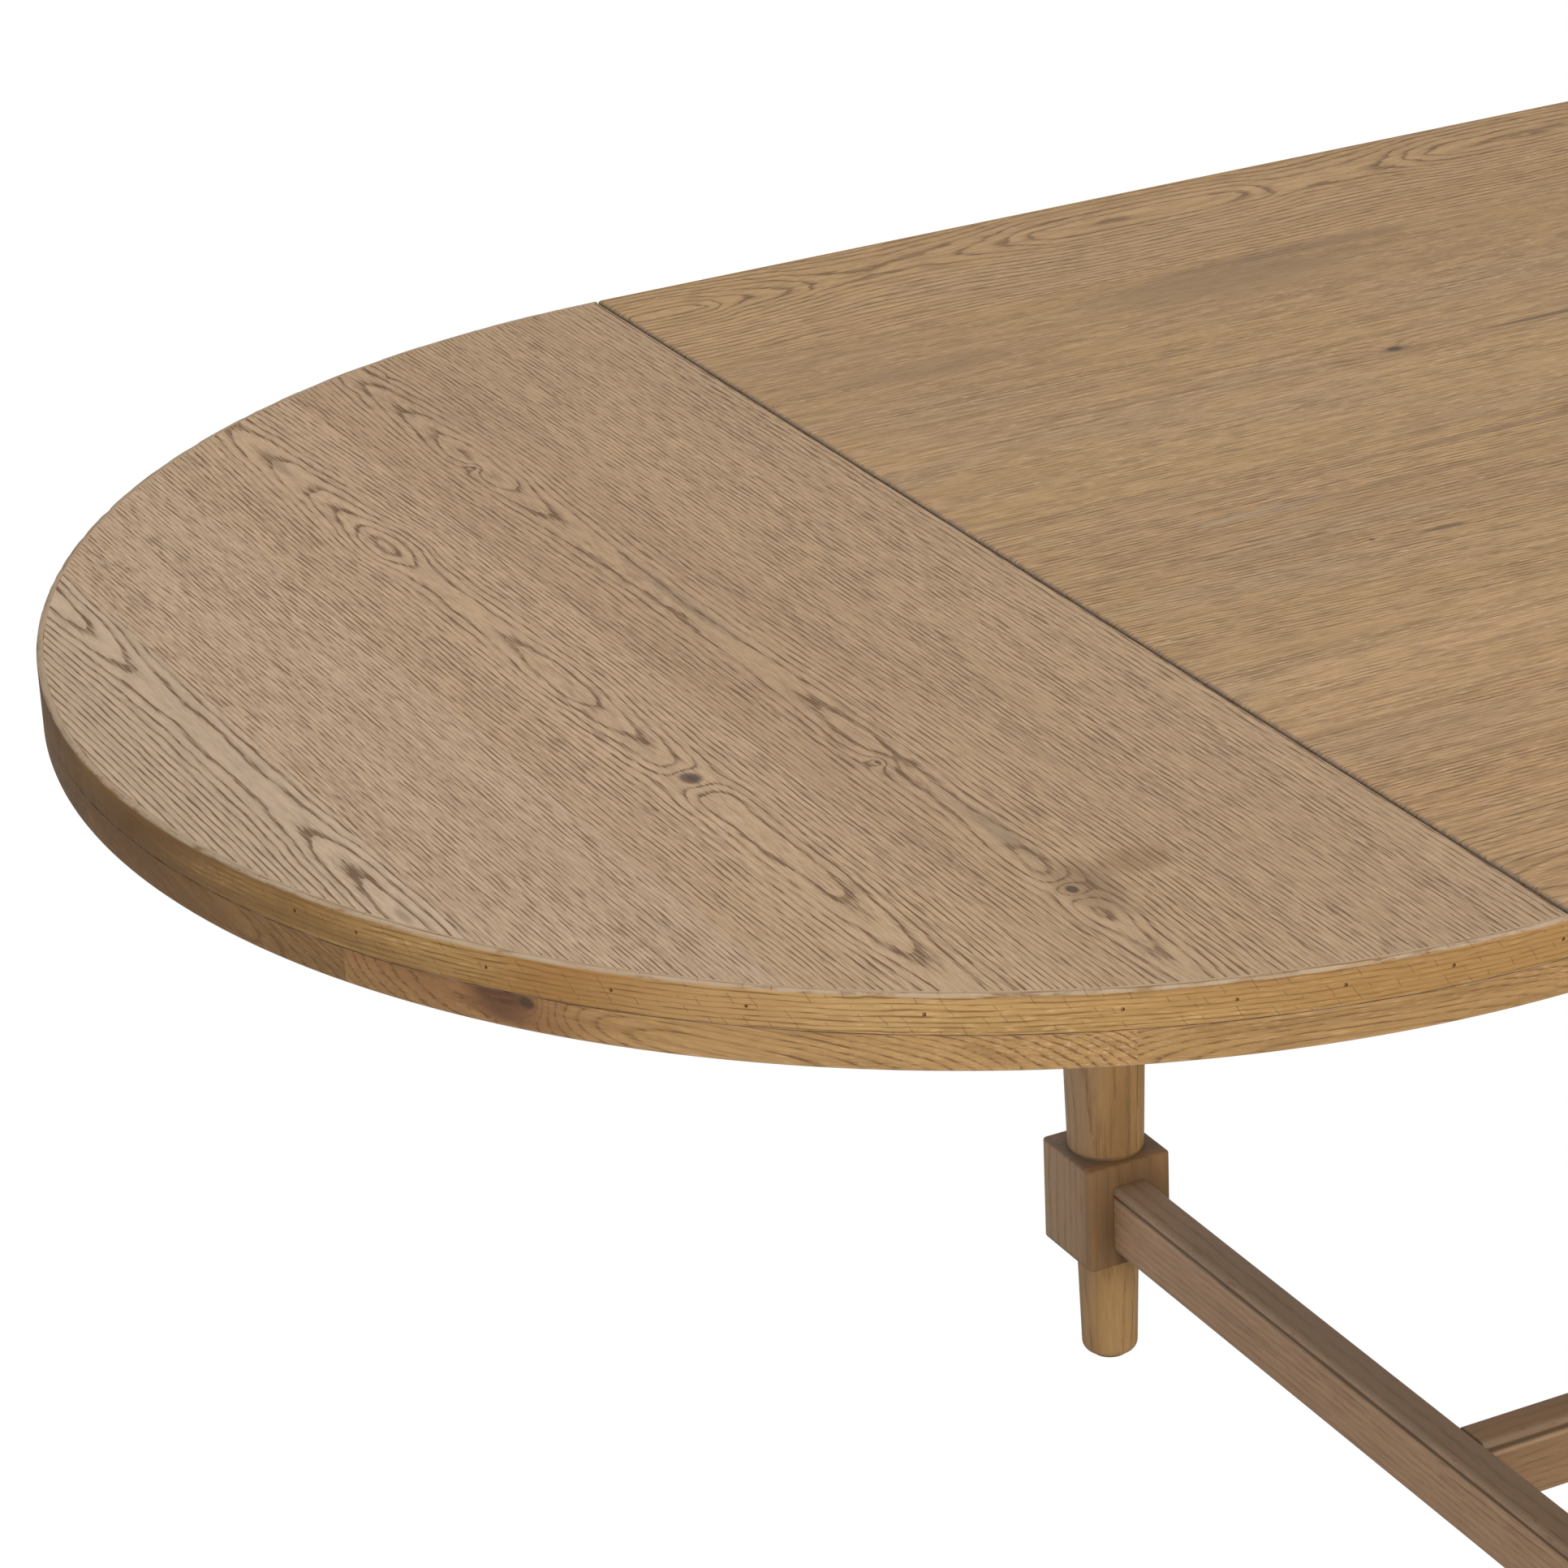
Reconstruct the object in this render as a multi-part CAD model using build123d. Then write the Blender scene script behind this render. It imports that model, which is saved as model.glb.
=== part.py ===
from build123d import *
from math import atan2, cos, degrees, hypot, radians, sin, sqrt
import os

# Drop-leaf dining table: a long centre top on four turned legs, with a
# half-round leaf hinged to each end. Millimetres, +Z up, +X along the table.
# The origin is on the floor, under the middle of the centre top.

# Overall sizes
table_height = 762
leaf_radius = 511
centre_length = 1420
joint_gap = 1.5

# Table top layers
board_thickness = 20
rim_thickness = 18
rim_width = 60
band_thickness = 4
batten_width = 80
cleat_width = 60
centre_board_shares = [142, 109, 103, 104, 106, 108, 110, 116, 116]
leaf_board_shares = [117, 105, 109, 100, 76]
rim_joint_angles = [43, 87, 113.3, 156.6]

# Legs: round below and above a square block, with a square head at the top
leg_end_inset = 282
head_size = 76
head_clearance = 5
head_depth = 90
shaft_top_radius = 37
shaft_foot_radius = 25.2
block_size = 61
block_bottom = 80
block_top = 154.5
foot_top_radius = 20.5
foot_radius = 18.4
foot_round = 6
block_ease = 1.5

# Stretchers and aprons
stretcher_width = 25
stretcher_height = 48
stretcher_bottom = 91
stretcher_ease = 3
tenon_thickness = 12
tenon_shoulder = 6
tenon_depth = 26
long_tenon_depth = 10
apron_thickness = 22
apron_height = 80
clip_groove_depth = 9
clip_groove_height = 4
clip_groove_drop = 12

# Corner braces and their bolts
brace_thickness = 22
brace_height = 60
brace_standoff = 12
bolt_radius = 4
bolt_grip = 40
nut_radius = 7.5
nut_thickness = 7

# Clips that hold the top to the aprons
clip_thickness = 2.5
clip_width = 24
clip_reach = 35
clip_tongue = 8
clip_riser = 12
side_clip_inset = 148
end_clip_inset = 248

# Foot glides
glide_radius = 12
glide_thickness = 4
glide_recess = 2

# Hinges
hinge_side_inset = 171
hinge_drop = 4
hinge_length = 60
hinge_reach = 45
plate_thickness = 2
barrel_radius = 3.6
hinge_pin_radius = 1.75
running_clearance = 0.05
knuckle_gap = 0.4
barrel_relief = 0.5
hinge_near_screw_share = 0.45
hinge_far_screw_share = 0.8

# Screws
screw_radius = 2
screw_head_radius = 3.8
screw_head_height = 2
screw_length = 16
clip_screw_length = 14
screw_clearance = 0.2

# Folding stays, measured from the hinge axis: +X is towards the table's middle
stay_side_inset = 271
stay_pivot_x = 30
stay_pivot_drop = 90
stay_catch_reach = 190
stay_catch_drop = 22
leaf_fold = 90
stay_swing = 107
stay_bar_height = 20
stay_bar_thickness = 5
stay_pin_radius = 4
stay_side_gap = 0.5
stay_plate_thickness = 3
stay_flange_width = 26
stay_flange_start = 8
stay_web_margin = 12
stay_head_radius = 7
stay_head_thickness = 2
slot_clearance = 0.35
stay_pin_overlap = 1
cam_steps = 12
cam_small_turn = 0.01
track_lower_steps = [4, 8]
track_screw_shares = [0.1, 0.42, 0.74]
bracket_screw_shares = [0.15, 0.5, 0.85]

# Levels and centre lines that follow from the sizes above
board_bottom = table_height - board_thickness
rim_bottom = board_bottom - rim_thickness
hinge_z = rim_bottom - hinge_drop
joint_x = -centre_length / 2
end_x = joint_x + joint_gap / 2
leaf_x = joint_x - joint_gap / 2
half_width = leaf_radius
board_half_width = half_width - band_thickness
rim_inside = half_width - rim_width
leg_x = centre_length / 2 - leg_end_inset
leg_y = rim_inside - head_clearance - head_size / 2
hinge_y = half_width - hinge_side_inset
stay_y = half_width - stay_side_inset
apron_bottom = board_bottom - apron_height
stretcher_top = stretcher_bottom + stretcher_height
head_bottom = board_bottom - head_depth
cleat_end = leaf_x - batten_width

os.makedirs("parts", exist_ok=True)


def box(x0, x1, y0, y1, z0, z1):
    """A block between two opposite corners."""
    middle = Pos((x0 + x1) / 2, (y0 + y1) / 2, (z0 + z1) / 2)
    return middle * Box(abs(x1 - x0), abs(y1 - y0), abs(z1 - z0))


def post(x, y, z0, z1, radius):
    """An upright cylinder."""
    return Pos(x, y, (z0 + z1) / 2) * Cylinder(radius, z1 - z0)


def pin_y(x, z, y0, y1, radius):
    """A cylinder that lies along Y."""
    return Pos(x, (y0 + y1) / 2, z) * Rot(90, 0, 0) * Cylinder(radius, abs(y1 - y0))


def across(shape):
    """The same piece at the other end of the table."""
    return mirror(shape, Plane.YZ)


def front_of(shape):
    """The same piece on the other long side."""
    return mirror(shape, Plane.XZ)


def four(shape):
    """The piece at all four corners."""
    pair = [shape, front_of(shape)]
    return pair + [across(s) for s in pair]


def save(node, shapes):
    """Write one node, as one solid or as a group of separate solids."""
    solids = [s for shape in shapes for s in shape.solids()]
    whole = solids[0] if len(solids) == 1 else Compound(children=solids)
    export_step(whole, f"parts/{node}.step")


def cut(shape, tools):
    """Take each tool out of the shape."""
    for tool in tools:
        shape = shape - tool
    return shape


def spread(low, high, shares):
    """The edges of strips that fill the span in the given proportions."""
    edges = [low]
    for share in shares:
        edges.append(edges[-1] + (high - low) * share / sum(shares))
    return edges


# --- Screws ---

def screw(x, y, under, length=screw_length):
    """A pan-head screw driven upwards, its head under the level given."""
    head = post(x, y, under - screw_head_height, under, screw_head_radius)
    return head + post(x, y, under, under + length, screw_radius)


def screw_way(x, y, low, high):
    """The loose hole that a screw passes through."""
    return post(x, y, low, high, screw_radius + screw_clearance)


# --- Hinges: three to a leaf, their axis under the joint ---

knuckle_length = (hinge_length - 2 * knuckle_gap) / 3
hinge_rows = [-hinge_y, 0, hinge_y]
hinge_under = rim_bottom - plate_thickness


def hinge_screw_points(y, towards):
    """Three holes in a plate, staggered; towards is the way the plate lies."""
    near = joint_x + towards * hinge_reach * hinge_near_screw_share
    far = joint_x + towards * hinge_reach * hinge_far_screw_share
    spacing = hinge_length / 3
    return [(far, y - spacing), (near, y), (far, y + spacing)]


def hinge_plate(y, towards, spans, bore):
    """A plate with its knuckles; spans are the knuckles' ends along Y."""
    start = joint_x + towards * (barrel_radius + barrel_relief)
    end = joint_x + towards * hinge_reach
    half = hinge_length / 2
    plate = box(start, end, y - half, y + half, hinge_under, rim_bottom)
    for low, high in spans:
        plate += box(joint_x, start, y + low, y + high, hinge_under, rim_bottom)
        plate += pin_y(joint_x, hinge_z, y + low, y + high, barrel_radius)
    plate -= pin_y(joint_x, hinge_z, y - half, y + half, bore)
    ways = [screw_way(px, py, hinge_under, rim_bottom)
            for px, py in hinge_screw_points(y, towards)]
    return cut(plate, ways)


outer = knuckle_length / 2 + knuckle_gap
middle_span = [(-knuckle_length / 2, knuckle_length / 2)]
outer_spans = [(-hinge_length / 2, -outer), (outer, hinge_length / 2)]
frame_plates = [hinge_plate(y, 1, outer_spans, hinge_pin_radius) for y in hinge_rows]
leaf_plates = [hinge_plate(y, -1, middle_span, hinge_pin_radius + running_clearance)
               for y in hinge_rows]
pins = [pin_y(joint_x, hinge_z, y - hinge_length / 2, y + hinge_length / 2,
              hinge_pin_radius) for y in hinge_rows]
frame_hinge_points = [p for y in hinge_rows for p in hinge_screw_points(y, 1)]
leaf_hinge_points = [p for y in hinge_rows for p in hinge_screw_points(y, -1)]

# --- Folding stays: a bar swings on a bracket under the centre's end, and its
# guide pin runs in a curved slot in a track plate under the leaf. The slot is
# the pin's path as seen from the leaf, so leaf and bar turn in a fixed ratio.

stay_ratio = stay_swing / leaf_fold
bar_run = stay_pivot_x + stay_catch_reach
bar_rise = stay_pivot_drop - stay_catch_drop
stay_length = hypot(bar_run, bar_rise)
stay_start = degrees(atan2(bar_rise, -bar_run))
flange_under = rim_bottom - stay_plate_thickness
bar_face = stay_y + stay_side_gap
bar_back = bar_face + stay_bar_thickness
track_face = bar_back + stay_side_gap
track_back = track_face + stay_plate_thickness
pivot_x = joint_x + stay_pivot_x
pivot_z = hinge_z - stay_pivot_drop


def cam_point(fold):
    """Where the guide pin is, seen from the leaf, when the leaf is folded."""
    swing = radians(stay_start + stay_ratio * fold)
    x = stay_pivot_x + stay_length * cos(swing)
    z = -stay_pivot_drop + stay_length * sin(swing)
    turn = radians(fold)
    return (joint_x + x * cos(turn) + z * sin(turn),
            hinge_z - x * sin(turn) + z * cos(turn))


slot_half = stay_pin_radius + slot_clearance
cam_folds = [leaf_fold * step / cam_steps for step in range(cam_steps + 1)]
cam_path = [cam_point(fold) for fold in cam_folds]
catch_x, catch_z = cam_path[0]
cam_end_x, cam_end_z = cam_path[-1]
cam_low = min(z for x, z in cam_path)
track_start = catch_x + stay_web_margin
track_end = cam_end_x - stay_web_margin
track_bottom = cam_low - stay_web_margin
track_lower_start, track_lower_end = [cam_path[step][0] for step in track_lower_steps]


def upright(sketch, face, thickness):
    """A sketch in X and Z made into a plate that grows from face along +Y."""
    return Pos(0, face + thickness, 0) * extrude(Plane.XZ * sketch, thickness)


def cam_side(fold, offset):
    """A point beside the pin's path, square to it."""
    x, z = cam_point(fold)
    ahead_x, ahead_z = cam_point(fold + cam_small_turn)
    run, rise = ahead_x - x, ahead_z - z
    step = offset / hypot(run, rise)
    return (x - rise * step, z + run * step)


def cam_end(fold, way):
    """The middle of the slot's round end; way is -1 before the path and 1 after it."""
    x, z = cam_point(fold)
    ahead_x, ahead_z = cam_point(fold + cam_small_turn)
    run, rise = ahead_x - x, ahead_z - z
    step = way * slot_half / hypot(run, rise)
    return (x + run * step, z + rise * step)


def cam_slot():
    """The slot's outline: the pin's path with the pin's room on each side."""
    above = [cam_side(fold, slot_half) for fold in cam_folds]
    below = [cam_side(fold, -slot_half) for fold in cam_folds]
    outline = Spline(*above)
    outline += ThreePointArc(above[-1], cam_end(leaf_fold, 1), below[-1])
    outline += Spline(*below)
    outline += ThreePointArc(below[0], cam_end(0, -1), above[0])
    return make_face(outline)


def stay_track():
    """The leaf's track plate with its cam slot and its screw flange."""
    outline = make_face(Polyline(
        (track_start, rim_bottom), (track_start, catch_z - stay_web_margin),
        (track_lower_start + stay_web_margin, track_bottom),
        (track_lower_end, track_bottom), (track_end, cam_end_z - stay_web_margin),
        (track_end, rim_bottom), close=True))
    plate = upright(outline - cam_slot(), track_face, stay_plate_thickness)
    flange = box(track_start, track_end, track_face, track_face + stay_flange_width,
                 flange_under, rim_bottom)
    return plate + flange


def stay_track_points():
    """The screws through a track's flange into its cleat."""
    y = track_back + (stay_flange_width - stay_plate_thickness) / 2
    return [(track_start + (track_end - track_start) * share, y) for share in track_screw_shares]


def stay_bracket():
    """The bracket under the centre's end, with the bar's pivot stud."""
    start = joint_x + stay_flange_start
    end = end_x + batten_width - screw_clearance
    web = make_face(Polyline(
        (start, rim_bottom), (pivot_x - stay_web_margin, pivot_z),
        (pivot_x - stay_web_margin, pivot_z - stay_web_margin),
        (pivot_x + stay_web_margin, pivot_z - stay_web_margin),
        (end, rim_bottom), close=True))
    plate = upright(web, stay_y - stay_plate_thickness, stay_plate_thickness)
    flange = box(start, end, stay_y - stay_flange_width, stay_y, flange_under, rim_bottom)
    stud = pin_y(pivot_x, pivot_z, stay_y - stay_plate_thickness / 2,
                 track_face, stay_pin_radius)
    head = pin_y(pivot_x, pivot_z, track_face,
                 track_face + stay_head_thickness, stay_head_radius)
    return plate + flange + stud + head


def stay_bracket_points():
    """The screws through a bracket's flange into the end batten."""
    y = stay_y - stay_plate_thickness - (stay_flange_width - stay_plate_thickness) / 2
    start = joint_x + stay_flange_start
    reach = batten_width - stay_flange_start
    return [(start + reach * share, y) for share in bracket_screw_shares]


def stay_bar():
    """The swinging bar, with its bore at one end and its guide pin at the other."""
    lie = degrees(atan2(catch_z - pivot_z, catch_x - pivot_x))
    place = Pos((catch_x + pivot_x) / 2, (catch_z + pivot_z) / 2) * Rot(0, 0, lie)
    shape = place * SlotCenterToCenter(stay_length, stay_bar_height)
    bar = upright(shape, bar_face, stay_bar_thickness)
    bar -= pin_y(pivot_x, pivot_z, bar_face, bar_back, stay_pin_radius + running_clearance)
    head_face = track_back + stay_side_gap
    pin = pin_y(catch_x, catch_z, bar_back - stay_pin_overlap, head_face, stay_pin_radius)
    head = pin_y(catch_x, catch_z, head_face,
                 head_face + stay_head_thickness, stay_head_radius)
    return bar + pin + head


track_flange_points = stay_track_points()
bracket_flange_points = stay_bracket_points()


def both_sides(points):
    """The points and their mirror images on the other long side."""
    return points + [(x, -y) for x, y in points]


# --- Leaf ---

def half_disc(radius, z0, z1):
    """A half disc on the joint, cut back by half the joint's gap."""
    disc = post(joint_x, 0, z0, z1, radius)
    return disc & box(leaf_x - 2 * leaf_radius, leaf_x, -radius, radius, z0, z1)


def sector(start, end, radius, z0, z1):
    """A wedge of the leaf; angles run from the back edge round to the front."""
    reach = 2 * radius
    middle = (start + end) / 2
    points = [(0, 0)]
    for angle in (start, middle, end):
        points.append((-reach * sin(radians(angle)), reach * cos(radians(angle))))
    face = make_face(Polyline(*points, close=True))
    return Pos(joint_x, 0, z0) * extrude(face, z1 - z0)


def leaf_pieces():
    """Every wooden piece of the left leaf, by name."""
    pieces = {}
    panel = half_disc(board_half_width, board_bottom, table_height)
    edges = spread(leaf_x, joint_x - board_half_width, leaf_board_shares)
    for i in range(len(leaf_board_shares)):
        strip = box(edges[i + 1], edges[i], -leaf_radius, leaf_radius,
                    board_bottom, table_height)
        pieces[f"leaf_board_{i + 1}"] = [panel & strip]
    band = half_disc(leaf_radius, board_bottom, table_height) - panel
    pieces["leaf_edge_band"] = [band]
    ring = half_disc(leaf_radius, rim_bottom, board_bottom)
    ring -= post(joint_x, 0, rim_bottom, board_bottom, rim_inside)
    turns = [0] + rim_joint_angles + [180]
    pieces["leaf_rim"] = [ring & sector(a, b, leaf_radius, rim_bottom, board_bottom)
                          for a, b in zip(turns, turns[1:])]
    batten = half_disc(rim_inside, rim_bottom, board_bottom)
    batten &= box(cleat_end, leaf_x, -leaf_radius, leaf_radius, rim_bottom, board_bottom)
    batten = cut(batten, [post(x, y, rim_bottom, hinge_under + screw_length, screw_radius)
                          for x, y in leaf_hinge_points])
    cleat_middle = track_back + stay_flange_width / 2
    low, high = cleat_middle - cleat_width / 2, cleat_middle + cleat_width / 2
    cleat_tip = joint_x - sqrt(rim_inside**2 - high**2)
    cleat = box(cleat_tip, cleat_end, low, high, rim_bottom, board_bottom)
    cleat = cut(cleat, [post(x, y, rim_bottom, flange_under + screw_length, screw_radius)
                        for x, y in track_flange_points])
    pieces["leaf_battens"] = [batten, cleat, front_of(cleat)]
    return pieces


def leaf_hardware():
    """The left leaf's metal pieces, by name."""
    track = cut(stay_track(), [screw_way(x, y, flange_under, rim_bottom)
                               for x, y in track_flange_points])
    screws = [screw(x, y, hinge_under) for x, y in leaf_hinge_points]
    screws += [screw(x, y, flange_under) for x, y in both_sides(track_flange_points)]
    return {"leaf_hinge_plates": leaf_plates,
            "leaf_stay_tracks": [track, front_of(track)],
            "leaf_screws": screws}


for name, shapes in {**leaf_pieces(), **leaf_hardware()}.items():
    save(f"left_{name}", shapes)
    save(f"right_{name}", [across(s) for s in shapes])

bar_back_left = stay_bar()
save("left_back_stay_bar", [bar_back_left])
save("left_front_stay_bar", [front_of(bar_back_left)])
save("right_back_stay_bar", [across(bar_back_left)])
save("right_front_stay_bar", [across(front_of(bar_back_left))])

# --- Centre top ---

side_clip_rows = [side_clip_inset - leg_x, 0, leg_x - side_clip_inset]
end_clip_rows = [end_clip_inset - leg_y, leg_y - end_clip_inset]
side_apron_inside = leg_y - apron_thickness / 2
end_apron_inside = -leg_x + apron_thickness / 2
clip_screw_reach = (clip_riser + clip_reach) / 2
clip_screw_points = both_sides([(x, side_apron_inside - clip_screw_reach)
                                for x in side_clip_rows])
for y in end_clip_rows:
    x = end_apron_inside + clip_screw_reach
    clip_screw_points += [(x, y), (-x, y)]
clip_under = board_bottom - clip_thickness
clip_pilots = [post(x, y, board_bottom, clip_under + clip_screw_length, screw_radius)
               for x, y in clip_screw_points]

board_edges = spread(board_half_width, -board_half_width, centre_board_shares)
for i in range(len(centre_board_shares)):
    board = box(end_x, -end_x, board_edges[i + 1], board_edges[i],
                board_bottom, table_height)
    save(f"centre_board_{i + 1}", [cut(board, clip_pilots)])

back_band = box(end_x, -end_x, board_half_width, half_width, board_bottom, table_height)
back_rim = box(end_x, -end_x, rim_inside, half_width, rim_bottom, board_bottom)
save("back_edge_band", [back_band])
save("front_edge_band", [front_of(back_band)])
save("back_rim", [back_rim])
save("front_rim", [front_of(back_rim)])

end_batten = box(end_x, end_x + batten_width, -rim_inside, rim_inside,
                 rim_bottom, board_bottom)
end_batten = cut(end_batten, [post(x, y, rim_bottom, hinge_under + screw_length,
                                   screw_radius) for x, y in frame_hinge_points])
end_batten = cut(end_batten, [post(x, y, rim_bottom, flange_under + screw_length,
                                   screw_radius)
                              for x, y in both_sides(bracket_flange_points)])
save("end_battens", [end_batten, across(end_batten)])

save("centre_hinge_plates", frame_plates + [across(p) for p in frame_plates])
save("hinge_pins", pins + [across(p) for p in pins])
bracket = cut(stay_bracket(), [screw_way(x, y, flange_under, rim_bottom)
                               for x, y in bracket_flange_points])
save("stay_brackets", four(bracket))

centre_screws = [screw(x, y, hinge_under) for x, y in frame_hinge_points]
centre_screws += [screw(x, y, flange_under) for x, y in both_sides(bracket_flange_points)]
centre_screws += [across(s) for s in centre_screws]
centre_screws += [screw(x, y, clip_under, clip_screw_length) for x, y in clip_screw_points]
save("centre_screws", centre_screws)

# --- Base ---

tenon_low = stretcher_bottom + tenon_shoulder
tenon_high = stretcher_top - tenon_shoulder
block_inside = leg_y - block_size / 2
head_inside = head_size / 2
apron_tenon_low = apron_bottom + tenon_shoulder
apron_tenon_high = board_bottom - clip_groove_drop - clip_groove_height - tenon_shoulder


def stretcher_bar(length):
    """A bar along X with its long edges eased."""
    bar = box(-length / 2, length / 2, -stretcher_width / 2, stretcher_width / 2,
              stretcher_bottom, stretcher_top)
    return fillet(bar.edges().filter_by(Axis.X), stretcher_ease)


def tenon_bar(length, low, high):
    """A bar along X as thick as a tenon."""
    return box(-length / 2, length / 2, -tenon_thickness / 2, tenon_thickness / 2,
               low, high)


long_span = 2 * leg_x - stretcher_width
long_tenon = tenon_bar(long_span + 2 * long_tenon_depth, tenon_low, tenon_high)
save("long_stretcher", [stretcher_bar(long_span) + long_tenon])

end_tenons = tenon_bar(2 * (block_inside + tenon_depth), tenon_low, tenon_high)
end_bar = Rot(0, 0, 90) * (stretcher_bar(2 * block_inside) + end_tenons)
end_stretcher = Pos(-leg_x, 0, 0) * end_bar - long_tenon
save("left_end_stretcher", [end_stretcher])
save("right_end_stretcher", [across(end_stretcher)])


def apron(half_length):
    """An apron along X with its inside face towards -Y, tenons and clip groove."""
    half = apron_thickness / 2
    bar = box(-half_length, half_length, -half, half, apron_bottom, board_bottom)
    bar += tenon_bar(2 * (half_length + tenon_depth), apron_tenon_low, apron_tenon_high)
    top = board_bottom - clip_groove_drop
    return bar - box(-half_length, half_length, -half, clip_groove_depth - half,
                     top - clip_groove_height, top)


back_apron = Pos(0, leg_y, 0) * apron(leg_x - head_inside)
left_apron = Pos(-leg_x, 0, 0) * Rot(0, 0, 90) * apron(leg_y - head_inside)
save("back_apron", [back_apron])
save("front_apron", [front_of(back_apron)])
save("left_apron", [left_apron])
save("right_apron", [across(left_apron)])

# A brace crosses each corner at 45 degrees, clear of the leg's head
brace_sum = leg_x + leg_y - head_size - brace_standoff * sqrt(2)
brace_sum_in = brace_sum - brace_thickness * sqrt(2)
brace_x = leg_x - apron_thickness / 2
brace_y = leg_y - apron_thickness / 2
brace_bottom = board_bottom - (apron_height + brace_height) / 2
brace_face = make_face(Polyline(
    (-brace_x, brace_sum - brace_x), (brace_y - brace_sum, brace_y),
    (brace_y - brace_sum_in, brace_y), (-brace_x, brace_sum_in - brace_x), close=True))
brace = Pos(0, 0, brace_bottom) * extrude(brace_face, brace_height)

# A bolt runs through each brace on the diagonal through the leg's inner corner
corner_x = -leg_x + head_inside
corner_y = leg_y - head_inside
bolt_z = board_bottom - apron_height / 2
nut_start = brace_standoff + brace_thickness


def along_diagonal(start, end, radius):
    """A cylinder on the corner's diagonal; distances run inwards from the corner."""
    middle = (start + end) / 2 / sqrt(2)
    place = Pos(corner_x + middle, corner_y - middle, bolt_z)
    return place * Rot(0, 0, -45) * Rot(0, 90, 0) * Cylinder(radius, end - start)


bolt_shank = along_diagonal(-bolt_grip, nut_start, bolt_radius)
bolt = along_diagonal(-bolt_grip, nut_start + nut_thickness, bolt_radius)
bolt += along_diagonal(nut_start, nut_start + nut_thickness, nut_radius)
save("corner_braces", four(brace - bolt_shank))
save("corner_bolts", four(bolt))


def turned_leg():
    """The leg's outer shape, at its place at the back left."""
    foot_bottom = glide_thickness - glide_recess
    foot_height = block_bottom - foot_bottom
    foot = Pos(0, 0, foot_bottom + foot_height / 2)
    foot = foot * Cone(foot_radius, foot_top_radius, foot_height)
    foot = fillet(foot.edges().sort_by(Axis.Z)[0], foot_round)
    shaft_height = head_bottom - block_top
    shaft = Pos(0, 0, block_top + shaft_height / 2)
    shaft = shaft * Cone(shaft_foot_radius, shaft_top_radius, shaft_height)
    half = block_size / 2
    block = box(-half, half, -half, half, block_bottom, block_top)
    block = fillet(block.edges(), block_ease)
    half = head_size / 2
    head = box(-half, half, -half, half, head_bottom, board_bottom)
    return Pos(-leg_x, leg_y, 0) * (foot + block + shaft + head)


glide = post(-leg_x, leg_y, 0, glide_thickness, glide_radius)
leg = cut(turned_leg(), [end_stretcher, back_apron, left_apron, bolt_shank, glide])
save("left_back_leg", [leg])
save("left_front_leg", [front_of(leg)])
save("right_back_leg", [across(leg)])
save("right_front_leg", [across(front_of(leg))])
save("foot_glides", four(glide))


def clip(x, y):
    """A stepped clip: its tongue in the back apron's groove, its foot under the boards."""
    inside = side_apron_inside
    tongue_top = board_bottom - clip_groove_drop
    face = inside - clip_riser
    steps = [(inside + clip_tongue, face, tongue_top - clip_thickness, tongue_top),
             (face + clip_thickness, face, tongue_top - clip_thickness, board_bottom),
             (face + clip_thickness, inside - clip_reach, clip_under, board_bottom)]
    half = clip_width / 2
    shape = None
    for y0, y1, z0, z1 in steps:
        piece = box(-half, half, y0, y1, z0, z1)
        shape = piece if shape is None else shape + piece
    shape -= screw_way(0, inside - clip_screw_reach, clip_under, board_bottom)
    return Pos(x, y, 0) * shape


clips = [clip(x, 0) for x in side_clip_rows]
clips += [front_of(c) for c in clips]
for y in end_clip_rows:
    turned = Pos(-leg_x, y, 0) * Rot(0, 0, 90) * clip(0, -leg_y)
    clips += [turned, across(turned)]
save("tabletop_clips", clips)
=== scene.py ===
import math
import bpy
from mathutils import Matrix, Vector, noise


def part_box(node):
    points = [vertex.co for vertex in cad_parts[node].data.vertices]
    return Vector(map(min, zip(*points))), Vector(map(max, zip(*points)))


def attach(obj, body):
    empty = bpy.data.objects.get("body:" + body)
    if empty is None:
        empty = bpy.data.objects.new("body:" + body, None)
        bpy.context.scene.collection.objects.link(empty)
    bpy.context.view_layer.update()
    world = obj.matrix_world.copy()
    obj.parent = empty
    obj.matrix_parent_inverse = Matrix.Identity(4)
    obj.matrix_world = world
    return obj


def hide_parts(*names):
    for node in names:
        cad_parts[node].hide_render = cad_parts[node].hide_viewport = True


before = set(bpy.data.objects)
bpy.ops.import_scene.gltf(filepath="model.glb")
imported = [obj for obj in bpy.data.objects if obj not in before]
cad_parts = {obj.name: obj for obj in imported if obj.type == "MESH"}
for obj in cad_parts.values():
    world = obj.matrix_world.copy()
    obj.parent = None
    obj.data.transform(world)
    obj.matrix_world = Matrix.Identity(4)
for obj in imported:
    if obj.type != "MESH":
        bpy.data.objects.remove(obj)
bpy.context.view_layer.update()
print("frame loaded")

# the table's own sizes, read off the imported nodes
bandLow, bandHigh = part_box("left_leaf_edge_band")
topZ = bandHigh.z
layerZ = bandLow.z                      # underside of the boards, top of the lower rim
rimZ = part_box("left_leaf_rim")[0].z     # underside of the rim
leafRadius = bandHigh.y
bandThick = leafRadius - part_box("left_leaf_board_1")[1].y
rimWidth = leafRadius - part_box("back_rim")[0].y
leafEnd = abs(bandHigh.x)               # the leaf's face at the joint
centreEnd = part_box("centre_board_5")[1].x
jointX = (leafEnd + centreEnd) / 2
touch = 1e-4                            # two places this close are one
halfTurn = Matrix.Rotation(math.pi, 4, "Z")


# selecting, placing and easing pieces

def same(first, second):
    return abs(first - second) < touch


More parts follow.
